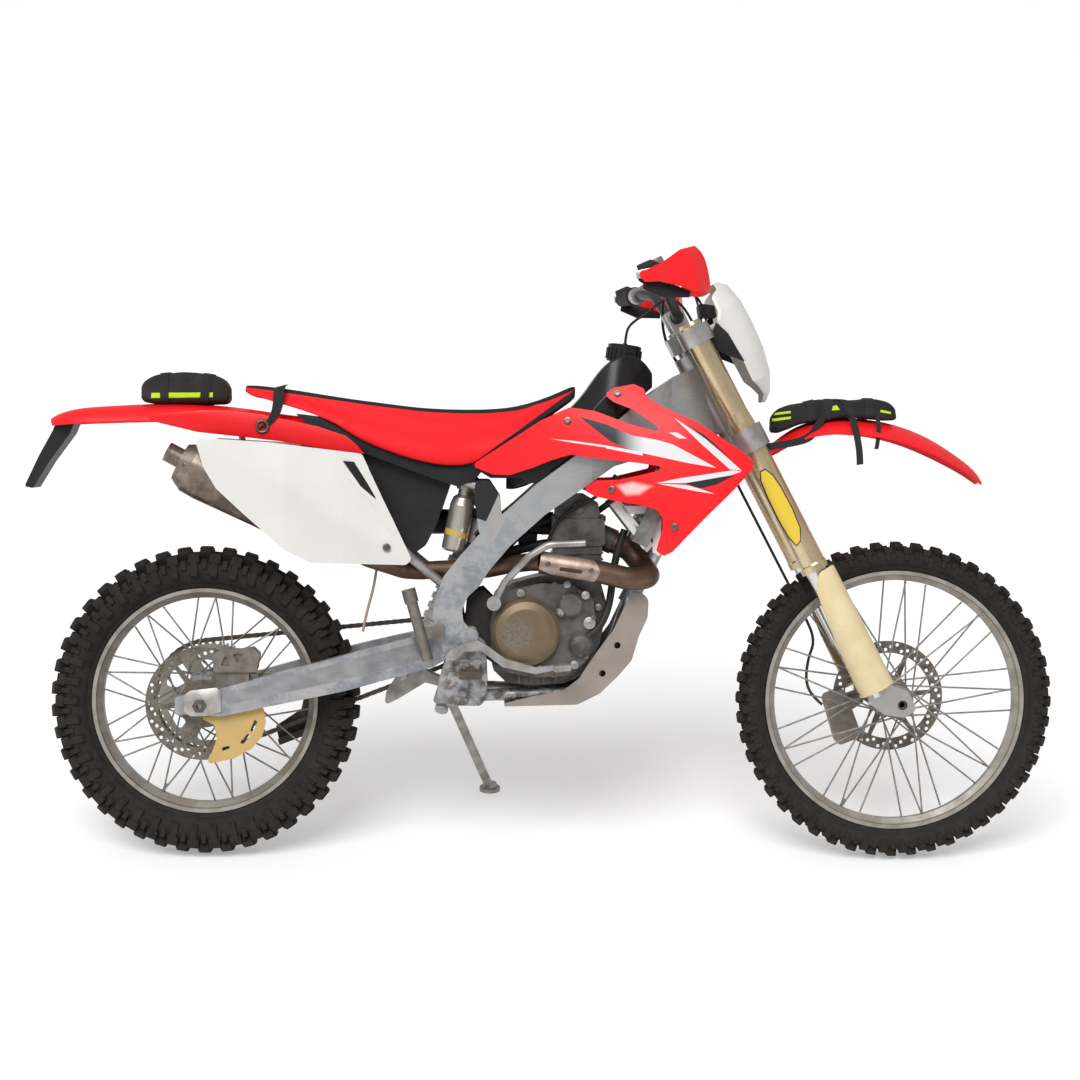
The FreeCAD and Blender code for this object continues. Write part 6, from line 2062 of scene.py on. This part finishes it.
    def case_bosses(self) -> None:
        """Round bosses with a screw each on the engine's right side."""
        parts = []
        for x, z, radius in self.bosses:
            place, normal = struck("crankcase", (x, -400, z), (0, 1, 0), MACHINE)
            parts.append(rod(place - normal, place + normal * 7, radius, 24, 1.4))
            parts.append(screw(place + normal * 7, normal, radius * 0.5, 4))
        settled(joined(parts), "case_bosses", MACHINE, Body.CHASSIS, "control_alloy", 40)

    def both(
        self, piece: bpy.types.Object, name: str, body: Body, space: Matrix, slot: str
    ) -> None:
        """Settles a piece with its twin on the other side."""
        settled(joined([piece, mirrored(piece)]), name, space, body, slot)

    def cap(self) -> None:
        """Ribbed skirt and breather spout of the filler cap."""
        ribs, count = [], 20
        for number in range(count):
            rib = block((3, 6.5, 24), (37, 0, 16), 1.0, 1)
            rib.data.transform(Matrix.Rotation(math.tau * number / count, 4, "Z"))
            ribs.append(rib)
        spout = rod((0, 0, 34), (0, 0, 41), 5, 16, 0.8)
        crown = rod((0, 0, 33), (0, 0, 37.5), 31, 40, 1.6)
        cap = joined([*ribs, spout, crown])
        tilt = Matrix.Rotation(math.atan2(0.12, 1), 4, "Y")
        cap.data.transform(Matrix.Translation((888, 0, 1062)) @ tilt)
        settled(cap, "cap_ribs", MACHINE, Body.CHASSIS, "black_plastic")

    def seat_strap(self) -> None:
        """Loose strap at the seat's rear with a round buckle."""
        route = [
            (164, -50, 1003), (163, -84, 1003), (161, -99, 984), (160, -102, 958),
            (150, -101, 932), (126, -99, 912),
        ]
        strap = ribbon(route, (23, 0, 6), 2.0)
        settled(strap, "seat_strap", MACHINE, Body.CHASSIS, "strap_web", 60)
        add = bpy.ops.mesh.primitive_torus_add
        ring = primitive(add, major_radius=12, minor_radius=3, major_segments=28, minor_segments=8)
        turn = Matrix.Rotation(math.pi / 2, 4, "X")
        ring.data.transform(Matrix.Translation((127, -101.5, 917)) @ turn)
        settled(ring, "strap_buckle", MACHINE, Body.CHASSIS, "bolt_steel", 60)


# Picture


@dataclass(frozen=True)
class Studio:
    """Floor, lights and camera. The camera's numbers fit the photograph."""

    spot: Point = (0.6150, -4.5956, 1.8991)
    pitch: float = 0.2550
    yaw: float = 0.0209
    roll: float = 0.0135
    lens: float = 75.87
    floor_width: float = 80.0
    floor_glow: float = 0.32
    world_level: float = 0.44
    key_level: float = 2.1
    key_spread: float = 35.0
    key_turn: Pair = (38.0, -14.0)

    def floor(self) -> None:
        """White floor that keeps the machine's shadow."""
        plane = primitive(bpy.ops.mesh.primitive_plane_add, size=self.floor_width)
        plane.name = "floor"
        graph = Graph(bpy.data.materials.new("floor_white"))
        path = graph.raw("ShaderNodeLightPath", {}, {}).outputs
        seen = Value(graph, path["Is Camera Ray"]).most(Value(graph, path["Is Glossy Ray"]))
        seen = seen.most(Value(graph, path["Is Transmission Ray"]))
        point = graph.place(Matrix.Identity(4))
        tone = graph.mix(graph.noise(point, 0.4), (0.80, 0.80, 0.80), (0.83, 0.83, 0.83))
        plain = graph.node("ShaderNodeBsdfDiffuse", {}, {"Color": tone})
        lit = graph.node("ShaderNodeEmission", {}, {"Strength": seen * self.floor_glow})
        both = graph.node("ShaderNodeAddShader", {}, {0: plain, 1: lit})
        graph.raw("ShaderNodeOutputMaterial", {}, {"Surface": both})
        plane.data.materials.append(graph.owner)

    def world(self) -> None:
        """Even pale surroundings, white where they are seen."""
        world = bpy.data.worlds.new("surroundings")
        bpy.context.scene.world = world
        graph = Graph(world)
        path = graph.raw("ShaderNodeLightPath", {}, {}).outputs
        seen = Value(graph, path["Is Camera Ray"]).most(Value(graph, path["Is Transmission Ray"]))
        level = graph.node("ShaderNodeMapRange", {}, {"Value": seen, "To Min": self.world_level})
        shine = graph.node("ShaderNodeBackground", {}, {"Color": (1, 1, 1), "Strength": level})
        graph.raw("ShaderNodeOutputWorld", {}, {"Surface": shine})

    def lights(self) -> None:
        """One broad high lamp from the camera's side."""
        key = bpy.data.lights.new("key", "SUN")
        key.energy = self.key_level
        key.angle = math.radians(self.key_spread)
        lamp = bpy.data.objects.new("key", key)
        lamp.rotation_euler = (*map(math.radians, self.key_turn), 0)
        bpy.context.scene.collection.objects.link(lamp)

    def camera(self) -> None:
        """Camera that sees the machine as the photograph does."""
        cos, sin = math.cos, math.sin
        level = cos(self.pitch)
        ahead = Vector((sin(self.yaw) * level, cos(self.yaw) * level, -sin(self.pitch)))
        right = Vector((cos(self.yaw), -sin(self.yaw), 0))
        above = right.cross(ahead)
        tilted = right * cos(self.roll) + above * sin(self.roll)
        above = above * cos(self.roll) - right * sin(self.roll)
        turn = Matrix((tilted, above, -ahead)).transposed().to_4x4()
        lens = bpy.data.cameras.new("camera")
        lens.lens = self.lens
        lens.sensor_fit = "HORIZONTAL"
        lens.sensor_width = 36
        camera = bpy.data.objects.new("camera", lens)
        camera.matrix_world = Matrix.Translation(Vector(self.spot) + SHIFT) @ turn
        bpy.context.scene.collection.objects.link(camera)
        bpy.context.scene.camera = camera

    def build(self) -> None:
        """Sets the whole picture up."""
        bpy.context.scene.view_settings.view_transform = "Standard"
        self.floor()
        self.world()
        self.lights()
        self.camera()


def paint_packed_nodes() -> None:
    """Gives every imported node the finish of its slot."""
    slots = {part["node"]: part["material_slot"] for part in frame["record"]["subparts"]}
    for name, node in frame["nodes"].items():
        material = BY_SLOT[slots[name]].material()
        if not node.data.materials:
            node.data.materials.append(material)
        for number in range(len(node.data.materials)):
            node.data.materials[number] = material


def main() -> None:
    """Builds every sub-assembly in order."""
    logging.basicConfig(level=logging.INFO, format="%(message)s")
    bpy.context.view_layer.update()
    paint_packed_nodes()
    wheels = (REAR_TYRE, FRONT_TYRE, Chain())
    soft = (Seat(), TAIL_BAG, TOOL_ROLL)
    for assembly in (*wheels, *soft, *CORDS, *SCREWS, Trim(), Studio()):
        assembly.build()


if __name__ == "__main__":
    main()
